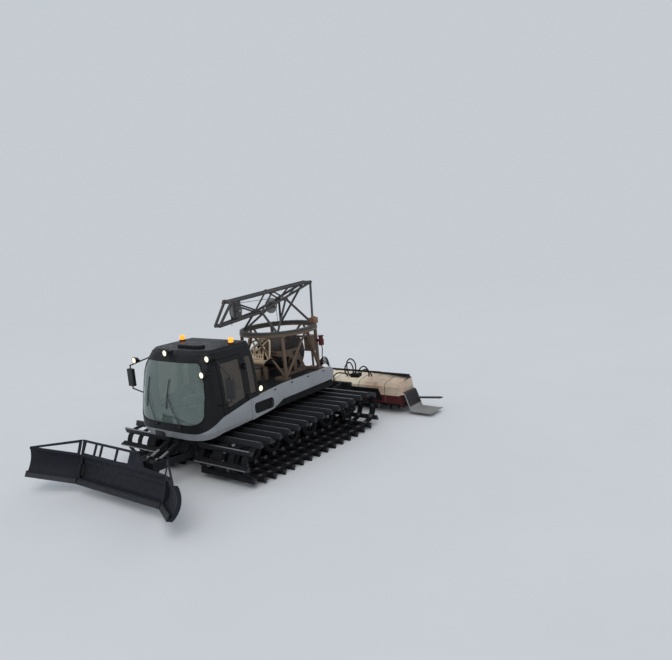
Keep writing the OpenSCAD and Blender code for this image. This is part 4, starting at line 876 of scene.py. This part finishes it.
class GROOMER_OT_cab(bpy.types.Operator):
    """Add the curved windscreen, the panes, gaskets, wipers, door handles and the roof's drip rail"""

    bl_idname = "groomer.cab"
    bl_label = "Add cab trim"

    def execute(self, context):
        sizes = context.scene.groomer_sizes
        r = sizes.gasket_r
        add_piece("curved_windscreen", shell(screen_sheet(0.006), screen_sheet(0.014)), "glass", "machine",
                  replaces=["windscreen"])
        add_piece("screen_gasket", closed_tube(screen_border(0.004), r), "gasket", "machine")
        low = [[y, float(belt_top(y)) + 0.115] for y in (-1.785, -1.205)]
        door = low + [[-1.205, WINDOW_TOP], [-1.74, WINDOW_TOP], [-1.785, 2.41]]
        gasket = closed_tube(window_path(door, 0.004), r * 0.7)
        pillar = window_path([[-1.04, 1.68], [-0.85, 1.68], [-0.85, WINDOW_TOP], [-1.04, WINDOW_TOP]], 0.004)
        handle = moved(joined([
            block([-0.012, -0.035, -0.075], [0.006, 0.03, 0.075], 0.008),
            tube([[0, 0, -0.06], [0.032, 0, -0.045], [0.034, 0, 0], [0.032, 0, 0.045], [0, 0, 0.06]], 0.011),
        ]), [HALF_W, -1.76, 1.62])
        for (side, rim), grip, pane in zip(sided(gasket), both(handle), both(door_pane())):
            door = "door_" + side
            add_piece("door_gasket_" + side, rim, "gasket", door)
            add_piece("door_handle_" + side, grip, "plastic", door)
            add_piece("door_pane_" + side, pane, "side_glass", door,
                      replaces=["door_glass_" + side])
        high = WINDOW_TOP - PANE_GAP
        z, y = np.meshgrid(np.linspace(1.6805, high, 12), [-1.0395, -0.945, -0.8505], indexing="ij")
        rear = block([-0.6995, -0.8097, 1.7605], [0.6995, -0.8023, high], 0.003)
        add_piece("rear_panes", both(side_pane(y, z)) + [rear], "side_glass", "machine",
                  replaces=["cab_glass"])
        add_piece("pillar_gaskets", both(closed_tube(pillar, r * 0.6)), "gasket", "machine")
        add_piece("wipers", wiper_shapes(), "plastic", "machine")
        add_piece("roof_seams", roof_shapes(), "plastic", "machine")
        return {"FINISHED"}


def wiper_shapes():
    """Two wipers: a pivot under the screen, an arm and a blade that lie just off the glass."""
    pivot = facing(lathe([[0.026, -0.02], [0.026, 0.02], [0.016, 0.03]], 20), [0, -1, 0.1])
    shapes = []
    for base, tip in ((-0.3, -0.62), (0.45, 0.08)):
        x, z = line([base, 1.27], [tip, 1.95], 16).T
        arm = nose(nose_turn(x, z), z, -0.022)
        shapes.append(tube(arm, 0.008, 8))
        x, z = line([tip - 0.05, 1.62], [tip + 0.05, 2.28], 18).T
        shapes.append(tube(nose(nose_turn(x, z), z, -0.008), 0.009, 6))
        shapes.append(moved(pivot, arm[0]))
    return shapes


def roof_shapes():
    """Drip rail round the roof: a thin bead that follows the cab's outline a little under the roof."""
    front = nose(np.linspace(-1, 1, 60), RAIL_Z, -0.001)
    w = section(RAIL_Z)[0]
    return tube(np.concatenate([[[-w, -0.8, RAIL_Z]], front, [[w, -0.8, RAIL_Z]]]), 0.009, 8)


def soft_block(low, high, crown=0.02, power=3.0, rows=26, cols=48):
    """Cushion: a superellipsoid whose corners are full and whose faces swell by a crown."""
    low, high = np.asarray(low, float), np.asarray(high, float)
    mid, half = (low + high) / 2, (high - low) / 2
    tilt = np.linspace(-np.pi / 2, np.pi / 2, rows)[:, None]
    turn = np.linspace(-np.pi, np.pi, cols, endpoint=False)[None, :]
    e = 2.0 / power
    full = lambda v: np.sign(v) * np.abs(v) ** e
    ball = np.stack([full(np.cos(tilt)) * full(np.cos(turn)), full(np.cos(tilt)) * full(np.sin(turn)),
                     full(np.sin(tilt)) + 0 * turn], -1)
    ball[..., 2:] *= 1 + crown * (1 - np.abs(ball[..., :2]).max(-1, keepdims=True) ** 2)
    return loft(mid + ball * half)


class GROOMER_OT_seats(bpy.types.Operator):
    """Replace the plain seats with padded ones on moulded bases"""

    bl_idname = "groomer.seats"
    bl_label = "Add the seats"

    def execute(self, context):
        # Each part is shaped about the middle of its base's foot
        pad = soft_block([-0.238, -0.258, 0.3], [0.238, 0.232, 0.425], 0.15)
        back = soft_block([-0.23, 0.17, 0.4], [0.23, 0.27, 0.945], 0.1)
        back = turned(back, [1, 0, 0], np.radians(-10), [0, 0.2, 0.42])
        base = block([-0.18, -0.18, 0], [0.18, 0.16, 0.3], 0.03)
        for side, x in (("left", 0.43), ("right", -0.43)):
            foot = [x, -1.29, 1.15]
            for name, shape in (("seat_pad_", pad), ("seat_back_", back)):
                piece = add_piece(name + side, moved(shape, foot), "cloth", "machine", 80,
                                  ["seats"])
            add_piece("seat_base_" + side, moved(base, foot), "plastic", "machine",
                      replaces=["seats"])
        return {"FINISHED"}


# Work lamps that look ahead: three on the cab's form, and one on the right mirror's arm
FRONT_LAMPS = np.array([[-0.09, -2.17, 2.8], [1.04, -1.99, 2.69], [1.04, -2.18, 2.39],
                        [-1.4357, -2.0242, 2.5305]])
SIDE_LAMP = np.array([1.0, -0.66, 1.71])


def lamp_parts():
    """A work lamp along Z: finned housing, bezel, and a domed lens in front."""
    fins = [[0.03, 0.0]]
    for k in range(5):
        z = 0.006 + k * 0.009
        fins += [[0.052, z], [0.052, z + 0.004], [0.044, z + 0.005], [0.044, z + 0.0088]]
    bezel = [[0.06, 0.055], [0.0735, 0.066], [0.075, 0.075], [0.075, 0.1], [0.071, 0.107], [0.062, 0.107],
             [0.062, 0.094]]
    housing = lathe(fins + bezel, 36)
    lens = lathe([[0.062, 0.09], [0.0625, 0.1], [0.055, 0.1045], [0.035, 0.1075], [0.012, 0.109]], 36)
    return housing, lens


class GROOMER_OT_lamps(bpy.types.Operator):
    """Replace the work lamps and the beacons with lit ones"""

    bl_idname = "groomer.lamps"
    bl_label = "Add lamps and beacons"

    def execute(self, context):
        for name, shape, look in zip(("lamp_housings", "lamp_lenses"), lamp_parts(), ("plastic", "lamp")):
            shapes = [stamped(facing(shape, [0, -1, 0]), FRONT_LAMPS),
                      moved(facing(shape, [1, 0, 0]), SIDE_LAMP)]
            add_piece(name, shapes, look, "machine", 40, ["work_lamps"])
        low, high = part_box("beacons")
        places = [[x, (low[1] + high[1]) / 2, low[2]] for x in (-BEACON_X, BEACON_X)]
        foot = lathe([[0.075, 0.0], [0.075, 0.022], [0.068, 0.032], [0.058, 0.034]], 36)
        ribs = [[0.056, 0.03]]
        for k in range(8):
            h = 0.036 + k * 0.009
            ribs += [[0.058, h], [0.0555, h + 0.0045]]
        dome = lathe(ribs + [[0.055, 0.112], [0.048, 0.126], [0.034, 0.135], [0.012, 0.139]], 40)
        add_piece("beacon_feet", stamped(foot, places), "plastic", "machine", 40, ["beacons"])
        add_piece("beacon_domes", stamped(dome, places), "beacon", "machine", 40, ["beacons"])
        return {"FINISHED"}


class GROOMER_OT_mirrors(bpy.types.Operator):
    """Add rounded mirror housings and their glass"""

    bl_idname = "groomer.mirrors"
    bl_label = "Add the mirrors"

    def execute(self, context):
        housing = soft_block([1.567, -2.134, 1.896], [1.763, -2.052, 2.314], 0.0, 7.0)
        glass = block([1.585, -2.056, 1.92], [1.745, -2.0485, 2.29], 0.003)
        add_piece("mirror_housings", both(housing), "plastic", "machine", 50)
        add_piece("mirror_glasses", both(glass), "mirror", "machine")
        return {"FINISHED"}


class GROOMER_OT_panels(bpy.types.Operator):
    """Add latches, bolts and frames to the belt panels and the engine deck"""

    bl_idname = "groomer.panels"
    bl_label = "Add panel fittings"

    def execute(self, context):
        x = HALF_W
        y = np.array([-0.25, 0.35, 0.95, 1.55])
        top = np.column_stack([np.full(4, x), y, belt_top(y) - 0.045])
        latch = joined([
            block([-0.001, -0.035, -0.014], [0.007, 0.035, 0.014], 0.003),
            block([0.004, -0.012, -0.008], [0.013, 0.03, 0.008], 0.003),
        ])
        heads = np.array([[x, -0.98, 1.47], [x, -0.98, 1.15], [x, -0.3, 1.2], [x, 0.0, 1.33], [x, 0.6, 1.34],
                          [x, 1.2, 1.34], [x, 1.88, 1.38], [x, 1.9, 1.55]])
        rim = window_path([[-0.945, 1.245], [-0.9, 1.2], [-0.4, 1.2], [-0.345, 1.245], [-0.345, 1.38],
                           [-0.39, 1.425], [-0.9, 1.425], [-0.945, 1.38]], 0.0, 6)
        rim[:, 0] = x
        left = {
            "panel_latches": (stamped(latch, top), "plastic"),
            "panel_bolts": (bolts(heads, [1, 0, 0], 0.009, 0.006), "steel"),
            "vent_rims": (closed_tube(rim, 0.009), "gasket"),
        }
        for name, (shape, look) in left.items():
            add_piece(name, both(shape), look, "machine")
        tip = nose(nose_turn(-0.33, 1.04), 1.04)
        plate = block(tip + [-0.15, -0.028, -0.06], tip + [0.15, 0.03, 0.06], 0.012)
        heads = bolts(tip + np.array([[-0.12, -0.028, 0], [0.12, -0.028, 0]]), [0, -1, 0])
        add_piece("front_latch", [plate, heads], "plastic", "machine")
        return {"FINISHED"}


class GROOMER_OT_winch(bpy.types.Operator):
    """Add the drum's rope, the valve stand with its pipes and hoses, the slewing drive, gussets and bolts"""

    bl_idname = "groomer.winch"
    bl_label = "Add winch fittings"

    def execute(self, context):
        sizes = context.scene.groomer_sizes
        add_piece("wound_rope", rope_pack(sizes.rope_pitch), "cable", "winch_drum", 60)
        ring = [0, WINCH_Y, RING_Z + 0.0603] + circle(36, 0.94)[:, [1, 2, 0]]
        add_piece("ring_bolts", bolts(ring, [0, 0, 1], sizes.bolt_r, 0.013), "steel", "boom")
        flange = [DRUM_W / 2 + 0.025, WINCH_Y, DRUM_Z] + circle(12, 0.4)
        heads = bolts(flange, [1, 0, 0], 0.012, 0.01)
        add_piece("drum_bolts", both(heads), "steel", "winch_drum")
        add_piece("winch_hoses", hose_shapes(), "gasket", "machine", 60)
        add_piece("winch_pipes", pipe_shapes(), "pipe", "machine", 40)
        add_piece("valve_stand", stand_shapes(), "winch", "machine")
        add_piece("slew_motor", motor_shapes(), "wine", "machine")
        add_piece("slew_gear", gear_shapes(), "copper", "boom")
        add_piece("boom_gussets", gusset_shapes(), "winch", "boom")
        feet = np.array([[0.76, 0.6, 1.62], [0.76, 1.86, 1.62]])
        spread = np.array([[-0.06, -0.06, 0], [0.06, -0.06, 0], [0.06, 0.06, 0], [-0.06, 0.06, 0]])
        heads = bolts(feet[:, None] + spread, [0, 0, 1], 0.012, 0.011)
        add_piece("foot_bolts", both(heads), "steel", "machine")
        return {"FINISHED"}


def rope_pack(pitch, turns_r=0.405, depth=0.006):
    """Rope on the drum: its radius swells once a pitch, and the swell moves one pitch along for each turn."""
    half = DRUM_W / 2 - 0.002
    rows = int(2 * half / pitch * 7)
    x = np.linspace(-half, half, rows)[:, None]
    turn = np.linspace(0, 2 * np.pi, 56, endpoint=False)[None, :]
    r = turns_r + depth * np.abs(np.cos(np.pi * x / pitch + turn / 2))
    return loft(np.stack([x + 0 * turn, WINCH_Y + r * np.cos(turn), DRUM_Z + r * np.sin(turn)], -1))


def curve(points, count=10):
    """Smooth path through points: each stretch is a Catmull-Rom cubic."""
    p = np.asarray(points, float)
    p = np.concatenate([2 * p[:1] - p[1:2], p, 2 * p[-1:] - p[-2:-1]])
    t = np.linspace(0, 1, count, endpoint=False)[:, None]
    rows = [0.5 * (2 * b + (c - a) * t + (2 * a - 5 * b + 4 * c - d) * t ** 2
                   + (3 * b - a - 3 * c + d) * t ** 3)
            for a, b, c, d in zip(p[:-3], p[1:-2], p[2:-1], p[3:])]
    return np.concatenate(rows + [p[-2:-1]])


def hose_shapes():
    """Hydraulic hoses from the valve stand to the drum's motor, over the deck and down the rear."""
    shapes = []
    for d in 0.034 * np.arange(4):
        motor = [[0.14 + d, 0.47, 1.9], [0.3 + d, 0.42, 2.0 + d], [0.5 + d / 2, 0.6, 1.95 + d],
                 [0.53 + d / 2, 0.9, 1.8 + d], [0.52, 1.12, 1.9 + d]]
        deck = [[-0.3 + d, 0.4, 1.62], [-0.3 + d, 0.28, 1.66 + d], [-0.5 + d, 0.14, 1.64],
                [-0.66 + d, 0.16, 1.575]]
        shapes += [tube(curve(motor), 0.014), tube(curve(deck), 0.013)]
    for d in 0.03 * np.arange(5):
        rear = [[0.62 - d, 1.98, 1.5], [0.64 - d, 2.25 + d, 1.62 + d], [0.5 - d, 2.62 + d, 1.42 + d],
                [0.4 - d / 2, 2.74 + d / 2, 1.05], [0.33 - d / 2, 2.5, 0.82]]
        shapes.append(tube(curve(rear, 12), 0.015))
    return shapes


def pipe_shapes():
    """Valve bank on its stand before the drum, and the bright pipes that climb from it under the ring."""
    shapes = [block([-0.34, 0.4, 1.96], [0.22, 0.5, 2.06], 0.012),
              block([-0.3, 0.43, 2.06], [0.18, 0.48, 2.11], 0.01)]
    spool = lathe([[0.02, 0.0], [0.02, 0.07], [0.012, 0.08], [0.012, 0.11]], 16)
    nut = lathe([[0.03, -0.018], [0.03, 0.018], [0.024, 0.024]], 6)
    for x in -0.28 + 0.075 * np.arange(7):
        shapes += [moved(spool, [x, 0.455, 2.1]),
                   block([x - 0.022, 0.37, 1.98], [x + 0.022, 0.402, 2.04], 0.006)]
    runs = [
        [[-0.28, 0.455, 2.18], [-0.28, 0.45, 2.36], [-0.16, 0.46, 2.5], [0.02, 0.52, 2.56], [0.2, 0.56, 2.58]],
        [[-0.205, 0.455, 2.18], [-0.2, 0.44, 2.3], [-0.05, 0.45, 2.42], [0.06, 0.56, 2.5], [0.06, 0.62, 2.52]],
        [[-0.13, 0.455, 2.18], [-0.13, 0.5, 2.42], [-0.26, 0.56, 2.5], [-0.36, 0.58, 2.58]],
        [[-0.055, 0.455, 2.18], [-0.04, 0.42, 2.28], [0.12, 0.42, 2.36], [0.26, 0.5, 2.5], [0.32, 0.58, 2.58]],
        [[0.02, 0.455, 2.18], [0.02, 0.47, 2.28], [-0.1, 0.48, 2.36], [-0.1, 0.6, 2.4]],
        [[0.095, 0.455, 2.18], [0.1, 0.44, 2.34], [0.24, 0.44, 2.4], [0.3, 0.44, 2.24], [0.34, 0.46, 2.08]],
        [[0.17, 0.455, 2.18], [0.17, 0.5, 2.3], [0.08, 0.58, 2.34], [0.08, 0.63, 2.3]],
        [[0.3, 0.44, 2.05], [0.42, 0.42, 2.14], [0.46, 0.42, 2.34], [0.47, 0.43, 2.56], [0.36, 0.48, 2.6]],
        [[-0.34, 0.42, 2.0], [-0.44, 0.4, 2.1], [-0.4, 0.4, 2.3], [-0.26, 0.4, 2.42], [-0.16, 0.44, 2.56]],
    ]
    for run in runs:
        path = curve(run, 8)
        shapes += [tube(path, 0.021), moved(facing(nut, path[1] - path[0]), path[0])]
    return shapes


def motor_shapes():
    """Slewing motor on its bracket at the tower's rear left post, with its hose end."""
    foot = [0.92, 1.86, 2.2]
    motor = [[0.062, 0.0], [0.07, 0.01], [0.07, 0.15], [0.055, 0.165], [0.055, 0.22], [0.075, 0.225],
             [0.075, 0.25]]
    return [block([0.79, 1.82, 2.29], [0.9, 1.9, 2.35], 0.006), moved(lathe(motor, 24), foot),
            tube(curve([foot, [0.92, 1.88, 2.1], [0.88, 1.9, 1.9], [0.84, 1.94, 1.66]]), 0.014)]


def gear_shapes():
    """Slewing gear on the boom's ring: a ribbed case with a cap, above the tower."""
    ribs = [block([x, 1.79, 2.79], [x + 0.012, 1.98, 2.91], 0.003) for x in 0.63 + 0.034 * np.arange(5)]
    cap = lathe([[0.06, 0.0], [0.06, 0.03], [0.045, 0.045], [0.015, 0.05]], 24)
    return [block([0.62, 1.8, 2.758], [0.8, 1.97, 2.9], 0.02)] + ribs + [moved(cap, [0.71, 1.885, 2.895])]


def stand_shapes():
    """Stand of the valve bank: two legs and a shelf, with an oil tank and its cap before it."""
    cap = lathe([[0.05, 0.0], [0.05, 0.03], [0.04, 0.045], [0.015, 0.05]], 24)
    return [block([-0.36, 0.4, 1.56], [-0.3, 0.52, 1.965], 0.006),
            block([0.18, 0.4, 1.56], [0.24, 0.52, 1.965], 0.006),
            block([-0.36, 0.395, 1.9], [0.24, 0.525, 1.965], 0.006),
            block([-0.28, 0.12, 1.56], [0.16, 0.36, 1.84], 0.04, 5),
            moved(cap, [-0.1, 0.24, 1.838])]


def gusset_shapes():
    """Gusset plates where the boom's tubes meet: thin lozenges on both sides of each joint."""
    joints = ((-0.34, 3.64, 0.1), (0.63, 3.24, 0.11), (1.1, 3.7, 0.09), (1.56, 3.44, 0.1), (2.6, 3.75, 0.08))
    shapes = []
    for y, z, size in joints:
        ring = np.array([[-size, -0.03], [-size * 0.4, -size * 0.6], [size * 0.4, -size * 0.6], [size, -0.03],
                         [size * 0.5, size * 0.5], [-size * 0.5, size * 0.5]])
        shapes += both(carry(ring, [0.114, y, z], [0.126, y, z], [0, 1, 0], [0, 0, 1]))
    return shapes


def leant(shape):
    """From the upright blade's own place to the leant blade at the machine's front."""
    return moved(turned(shape, [1, 0, 0], -LEAN), [0, BLADE_Y, BLADE_Z])


def wing_seal():
    """Rubber strip at the left wing's hinge: it leaves the blade's curved face and bends round the knuckle."""
    arc = ((BLADE_H / 2) ** 2 + BLADE_SAG ** 2) / (2 * BLADE_SAG)
    z = np.linspace(0.1, 0.56, 15)[:, None]
    face = BLADE_SAG - arc + np.sqrt(arc ** 2 - (z - BLADE_H / 2) ** 2) - WING_PIN_Y + 0.001
    turn = np.radians(np.linspace(118, 26, 12))[None, :] + 0 * z
    sheets = []
    for depth in (0.0, SEAL_T):
        x = np.concatenate([-0.1 + 0 * z, -0.045 + 0 * z, (SEAL_R - depth) * np.cos(turn)], 1)
        y = np.concatenate([face - depth, face - depth, (SEAL_R - depth) * np.sin(turn)], 1)
        sheets.append(np.stack([WING_X + x, WING_PIN_Y + y, z + 0 * x], -1))
    return leant(shell(sheets[0], sheets[1]))


def on_wing(shape, side):
    """From a wing's own place, hinged at x 0, to its folded place at one side of the blade."""
    points, faces = shape
    here = (points - [0, WING_PIN_Y, 0], faces)
    if side < 0:
        here = mirrored(here)
    return leant(moved(turned(here, [0, 0, 1], -side * WING_FOLD), [side * WING_X, WING_PIN_Y, 0]))


class GROOMER_OT_blade(bpy.types.Operator):
    """Add the blade's and wings' cutting edges with their bolts, and the seals between them"""

    bl_idname = "groomer.blade"
    bl_label = "Add blade fittings"

    def execute(self, context):
        edge = [[-0.012, -0.001], [0.006, -0.001], [0.0225, 0.094], [0.0065, 0.094]]
        gap, wing_end = 0.036, 1.178
        inner = WING_X - gap
        main = leant(carry(edge, [-inner, 0, 0], [inner, 0, 0], [0, 1, 0], [0, 0, 1]))
        wing = carry(edge, [gap, 0, 0], [wing_end, 0, 0], [0, 1, 0], [0, 0, 1])
        add_piece("cutting_edge", main, "cutter", "blade")
        row = line([-inner + 0.06, -0.003, 0.05], [inner - 0.06, -0.003, 0.05], 22)
        heads = leant(bolts(row, [0, -1, 0.15], 0.012, 0.006))
        add_piece("edge_bolts", heads, "cutter", "blade")
        add_piece("wing_seals", both(wing_seal()), "gasket", "blade", 60)
        heads = bolts(line([0.08, -0.003, 0.05], [1.13, -0.003, 0.05], 9), [0, -1, 0.15], 0.012, 0.006)
        for side, name in ((1, "left"), (-1, "right")):
            add_piece("wing_edge_" + name, on_wing(wing, side), "cutter", "wing_" + name)
            add_piece("wing_bolts_" + name, on_wing(heads, side), "cutter", "wing_" + name)
        return {"FINISHED"}


def comb_sheet(path, x0, x1, pitch, lift, wave):
    """Ridged sheet over a path of (y, z): it lies a lift off the path and swells by a wave once a pitch."""
    path = np.asarray(path, float)
    cols = int(round((x1 - x0) / pitch)) * 6 + 1
    x = np.linspace(x0, x1, cols)
    ahead = np.gradient(path, axis=0)
    normal = np.stack([-ahead[:, 1], ahead[:, 0]], -1)
    normal /= np.linalg.norm(normal, axis=1)[:, None]
    if normal[:, 1].mean() < 0:
        normal = -normal
    rise = wave * np.abs(np.sin(np.pi * (x - x0) / pitch))
    top = path[:, None, :] + normal[:, None, :] * (lift + rise)[None, :, None]
    low = path[:, None, :] + normal[:, None, :] * (0.0005 + 0 * x)[None, :, None]
    grid = lambda p: np.concatenate([np.broadcast_to(x[None, :, None], p.shape[:2] + (1,)), p], -1)
    return shell(grid(top), grid(low))


class GROOMER_OT_tiller(bpy.types.Operator):
    """Add the finisher's ridges, the hood's ribs, tube, hoses and bolts, the deflector and the flaps' beads"""

    bl_idname = "groomer.tiller"
    bl_label = "Add tiller fittings"

    def execute(self, context):
        pitch = context.scene.groomer_sizes.comb_pitch
        fall = bend([[4.232, 0.468], [4.37, 0.221], [4.548, 0.058]])
        comb = comb_sheet(fall, -2.145, 2.145, pitch, 0.003, 0.005)
        add_piece("comb_ridges", comb, "comb", "tiller", 60)
        hood = bend([[3.398, 0.34], [3.398, 0.77], [3.469, 0.862], [4.04, 0.952], [4.121, 0.901],
                     [4.171, 0.681], [4.224, 0.485]], 5)
        ribs = [tube(np.column_stack([np.full(len(hood), x), hood]), 0.008, 6)
                for x in np.linspace(-1.72, 1.72, 5)]
        add_piece("hood_ribs", ribs, "winch", "tiller", 50)
        rail = lathe([[0.03, 0.0], [0.03, 2.34]], 24)
        feet = [block([x - 0.03, 4.02, 0.935], [x + 0.03, 4.1, 0.985], 0.008) for x in (-1.0, -0.35, 0.35, 1.0)]
        add_piece("hood_tube", [moved(facing(rail, [1, 0, 0]), [-1.17, 4.06, 0.972])] + feet, "frame", "tiller")
        apron = [[-1.62, 0.4], [1.62, 0.4], [1.52, 0.7], [-1.52, 0.7]]
        apron = carry(apron, [0, 3.352, 0], [0, 3.396, 0], [1, 0, 0], [0, 0, 1])
        add_piece("snow_deflector", apron, "gasket", "tiller")
        add_piece("tiller_hoses", tiller_hoses(), "gasket", "tiller", 60)
        heads = [bolts(line([-2.1, y, z], [2.1, y, z], 16), [0, -0.156, 0.988], 0.01, 0.007)
                 for y, z in ((3.52, 0.868), (3.92, 0.931))]
        add_piece("hood_bolts", heads, "steel", "tiller")
        run = bend([[2.257, 0.56], [2.424, 0.123], [3.0, 0.113], [3.045, 0.132]], 6)
        for side, ridges in sided(flap_ridges(run)):
            add_piece("flap_ridges_" + side, ridges, "grey", "flap_" + side, 60)
        return {"FINISHED"}


def tiller_hoses():
    """Valve block on the hood's top and the hoses that stand up from it in hoops."""
    runs = [
        [[0.34, 3.72, 0.88], [0.27, 3.71, 1.08], [0.28, 3.71, 1.3], [0.41, 3.72, 1.4], [0.54, 3.73, 1.3],
         [0.55, 3.74, 1.12], [0.5, 3.75, 0.96]],
        [[0.3, 3.68, 0.88], [0.22, 3.66, 1.04], [0.27, 3.66, 1.22], [0.4, 3.68, 1.3], [0.48, 3.7, 1.16],
         [0.46, 3.72, 0.96]],
        [[0.66, 3.72, 0.96], [0.69, 3.72, 1.1], [0.82, 3.75, 1.2], [0.95, 3.77, 1.1], [0.97, 3.78, 0.9]],
        [[0.66, 3.78, 0.96], [0.74, 3.79, 1.05], [0.84, 3.8, 1.1], [0.98, 3.8, 1.04], [1.06, 3.8, 0.9]],
        [[0.46, 3.66, 0.94], [0.3, 3.56, 1.0], [0.1, 3.48, 1.02], [0.0, 3.42, 0.94], [0.02, 3.36, 0.8]],
    ]
    return [tube(curve(run), 0.018) for run in runs] + [block([0.42, 3.62, 0.86], [0.7, 3.82, 0.99], 0.015)]


def flap_ridges(run):
    """Ridges along a side finisher: thin half-round beads that run outwards over its upper face."""
    return joined([tube(np.column_stack([run[:, 0], np.full(len(run), y), run[:, 1]]), 0.006, 6)
                   for y in np.linspace(3.59, 4.13, 10)])


# Colour of the sky and of the floor far away, so that no horizon shows
SKY = (0.565, 0.6, 0.645, 1.0)
# Camera: place in metres, bearing, height and roll in degrees, focal length and frame width in pixels
EYE = (11.674, -11.202, 5.293)
BEARING, HEIGHT, ROLL = 38.089, 9.203, -5.046
FOCAL_PX, FRAME_PX, SENSOR_MM = 669.019, 672.0, 36.0


def floor_rows(reach, rings=48, steps=96):
    """Grid of the floor: circles that widen outwards, level up to half its reach and then rising as a bowl."""
    r = np.linspace(0.02, 1, rings)[:, None] ** 1.5 * reach
    turn = np.linspace(0, 2 * np.pi, steps, endpoint=False)[None, :]
    z = 1.1 * np.clip(r - reach * 0.55, 0, None) ** 2 / reach
    return np.stack([r * np.cos(turn), r * np.sin(turn), z + 0 * turn], -1)


def camera_place():
    """Camera's matrix: it looks along its bearing, down by its height's angle, rolled about that line."""
    az, el, roll = np.radians([BEARING, HEIGHT, ROLL])
    back = np.array([np.sin(az) * np.cos(el), -np.cos(az) * np.cos(el), np.sin(el)])
    right = np.cross(-back, [0, 0, 1])
    right /= np.linalg.norm(right)
    up = np.cross(right, -back)
    right, up = np.cos(roll) * right + np.sin(roll) * up, np.cos(roll) * up - np.sin(roll) * right
    matrix = np.eye(4)
    matrix[:3] = np.column_stack([right, up, back, EYE])
    return Matrix(matrix.tolist())


class GROOMER_OT_stage(bpy.types.Operator):
    """Set up the floor, the soft light and the camera"""

    bl_idname = "groomer.stage"
    bl_label = "Set up the stage"

    def execute(self, context):
        scene = context.scene
        rows = floor_rows(scene.groomer_sizes.floor_size)
        rings, steps = rows.shape[:2]
        mesh = bpy.data.meshes.new("floor")
        faces = quads(rings, steps).tolist() + [list(range(steps))[::-1]]
        mesh.from_pydata(rows.reshape(-1, 3).tolist(), [], faces)
        mesh.shade_smooth()
        floor = bpy.data.objects.new("floor", mesh)
        scene.collection.objects.link(floor)
        f = Finish("floor_pale")
        tone = f.ramp(f.noise(0.35, 3), [(0.3, (0.72, 0.735, 0.76)), (0.7, (0.74, 0.755, 0.775))])
        f.set(Base_Color=tone, Roughness=0.9, Specular_IOR_Level=0.1)
        far = f.add("ShaderNodeEmission", Color=SKY, Strength=1.0)
        way = f.add("ShaderNodeVectorMath", operation="LENGTH", Vector=f.place).outputs["Value"]
        f.blended(f.scaled(way, 11.0, 34.0, 0.0, 1.0), f.shader.outputs[0], far.outputs[0])
        mesh.materials.append(f.material)
        world = bpy.data.worlds.new("soft_sky")
        world.use_nodes = True
        sky = world.node_tree.nodes["Background"].inputs
        sky["Color"].default_value = SKY
        sky["Strength"].default_value = 1.0
        scene.world = world
        sun = bpy.data.lights.new("soft_sun", "SUN")
        sun.energy = 0.95
        sun.angle = np.radians(40)
        sun.color = (1.0, 0.97, 0.93)
        lamp = bpy.data.objects.new("soft_sun", sun)
        lamp.rotation_euler = (np.radians(38), np.radians(12), np.radians(25))
        scene.collection.objects.link(lamp)
        camera = bpy.data.cameras.new("view")
        camera.sensor_width = SENSOR_MM
        camera.lens = FOCAL_PX * SENSOR_MM / FRAME_PX
        camera.clip_end = 500.0
        eye = bpy.data.objects.new("view", camera)
        scene.collection.objects.link(eye)
        eye.matrix_world = camera_place()
        scene.camera = eye
        scene.view_settings.view_transform = "Standard"
        return {"FINISHED"}


OPERATORS = (
    GROOMER_OT_finishes, GROOMER_OT_tracks, GROOMER_OT_wheels, GROOMER_OT_cab, GROOMER_OT_seats,
    GROOMER_OT_lamps, GROOMER_OT_mirrors, GROOMER_OT_panels, GROOMER_OT_winch, GROOMER_OT_blade,
    GROOMER_OT_tiller, GROOMER_OT_stage,
)


class GROOMER_PT_panel(bpy.types.Panel):
    """Panel with the groomer's settings and pieces"""

    bl_idname = "GROOMER_PT_panel"
    bl_label = "Snow Groomer"
    bl_space_type = "VIEW_3D"
    bl_region_type = "UI"
    bl_category = "Groomer"

    def draw(self, context):
        layout = self.layout
        for group in (context.scene.groomer_looks, context.scene.groomer_sizes):
            for name in group.__annotations__:
                layout.prop(group, name)
        for operator in OPERATORS:
            layout.operator(operator.bl_idname)


CLASSES = (GroomerLooks, GroomerSizes) + OPERATORS + (GROOMER_PT_panel,)


def register():
    for cls in CLASSES:
        bpy.utils.register_class(cls)
    bpy.types.Scene.groomer_looks = PointerProperty(type=GroomerLooks)
    bpy.types.Scene.groomer_sizes = PointerProperty(type=GroomerSizes)


def unregister():
    del bpy.types.Scene.groomer_sizes
    del bpy.types.Scene.groomer_looks
    for cls in reversed(CLASSES):
        bpy.utils.unregister_class(cls)


def main():
    register()
    for operator in OPERATORS:
        group, name = operator.bl_idname.split(".")
        getattr(getattr(bpy.ops, group), name)()
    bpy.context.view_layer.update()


if __name__ == "__main__":
    main()
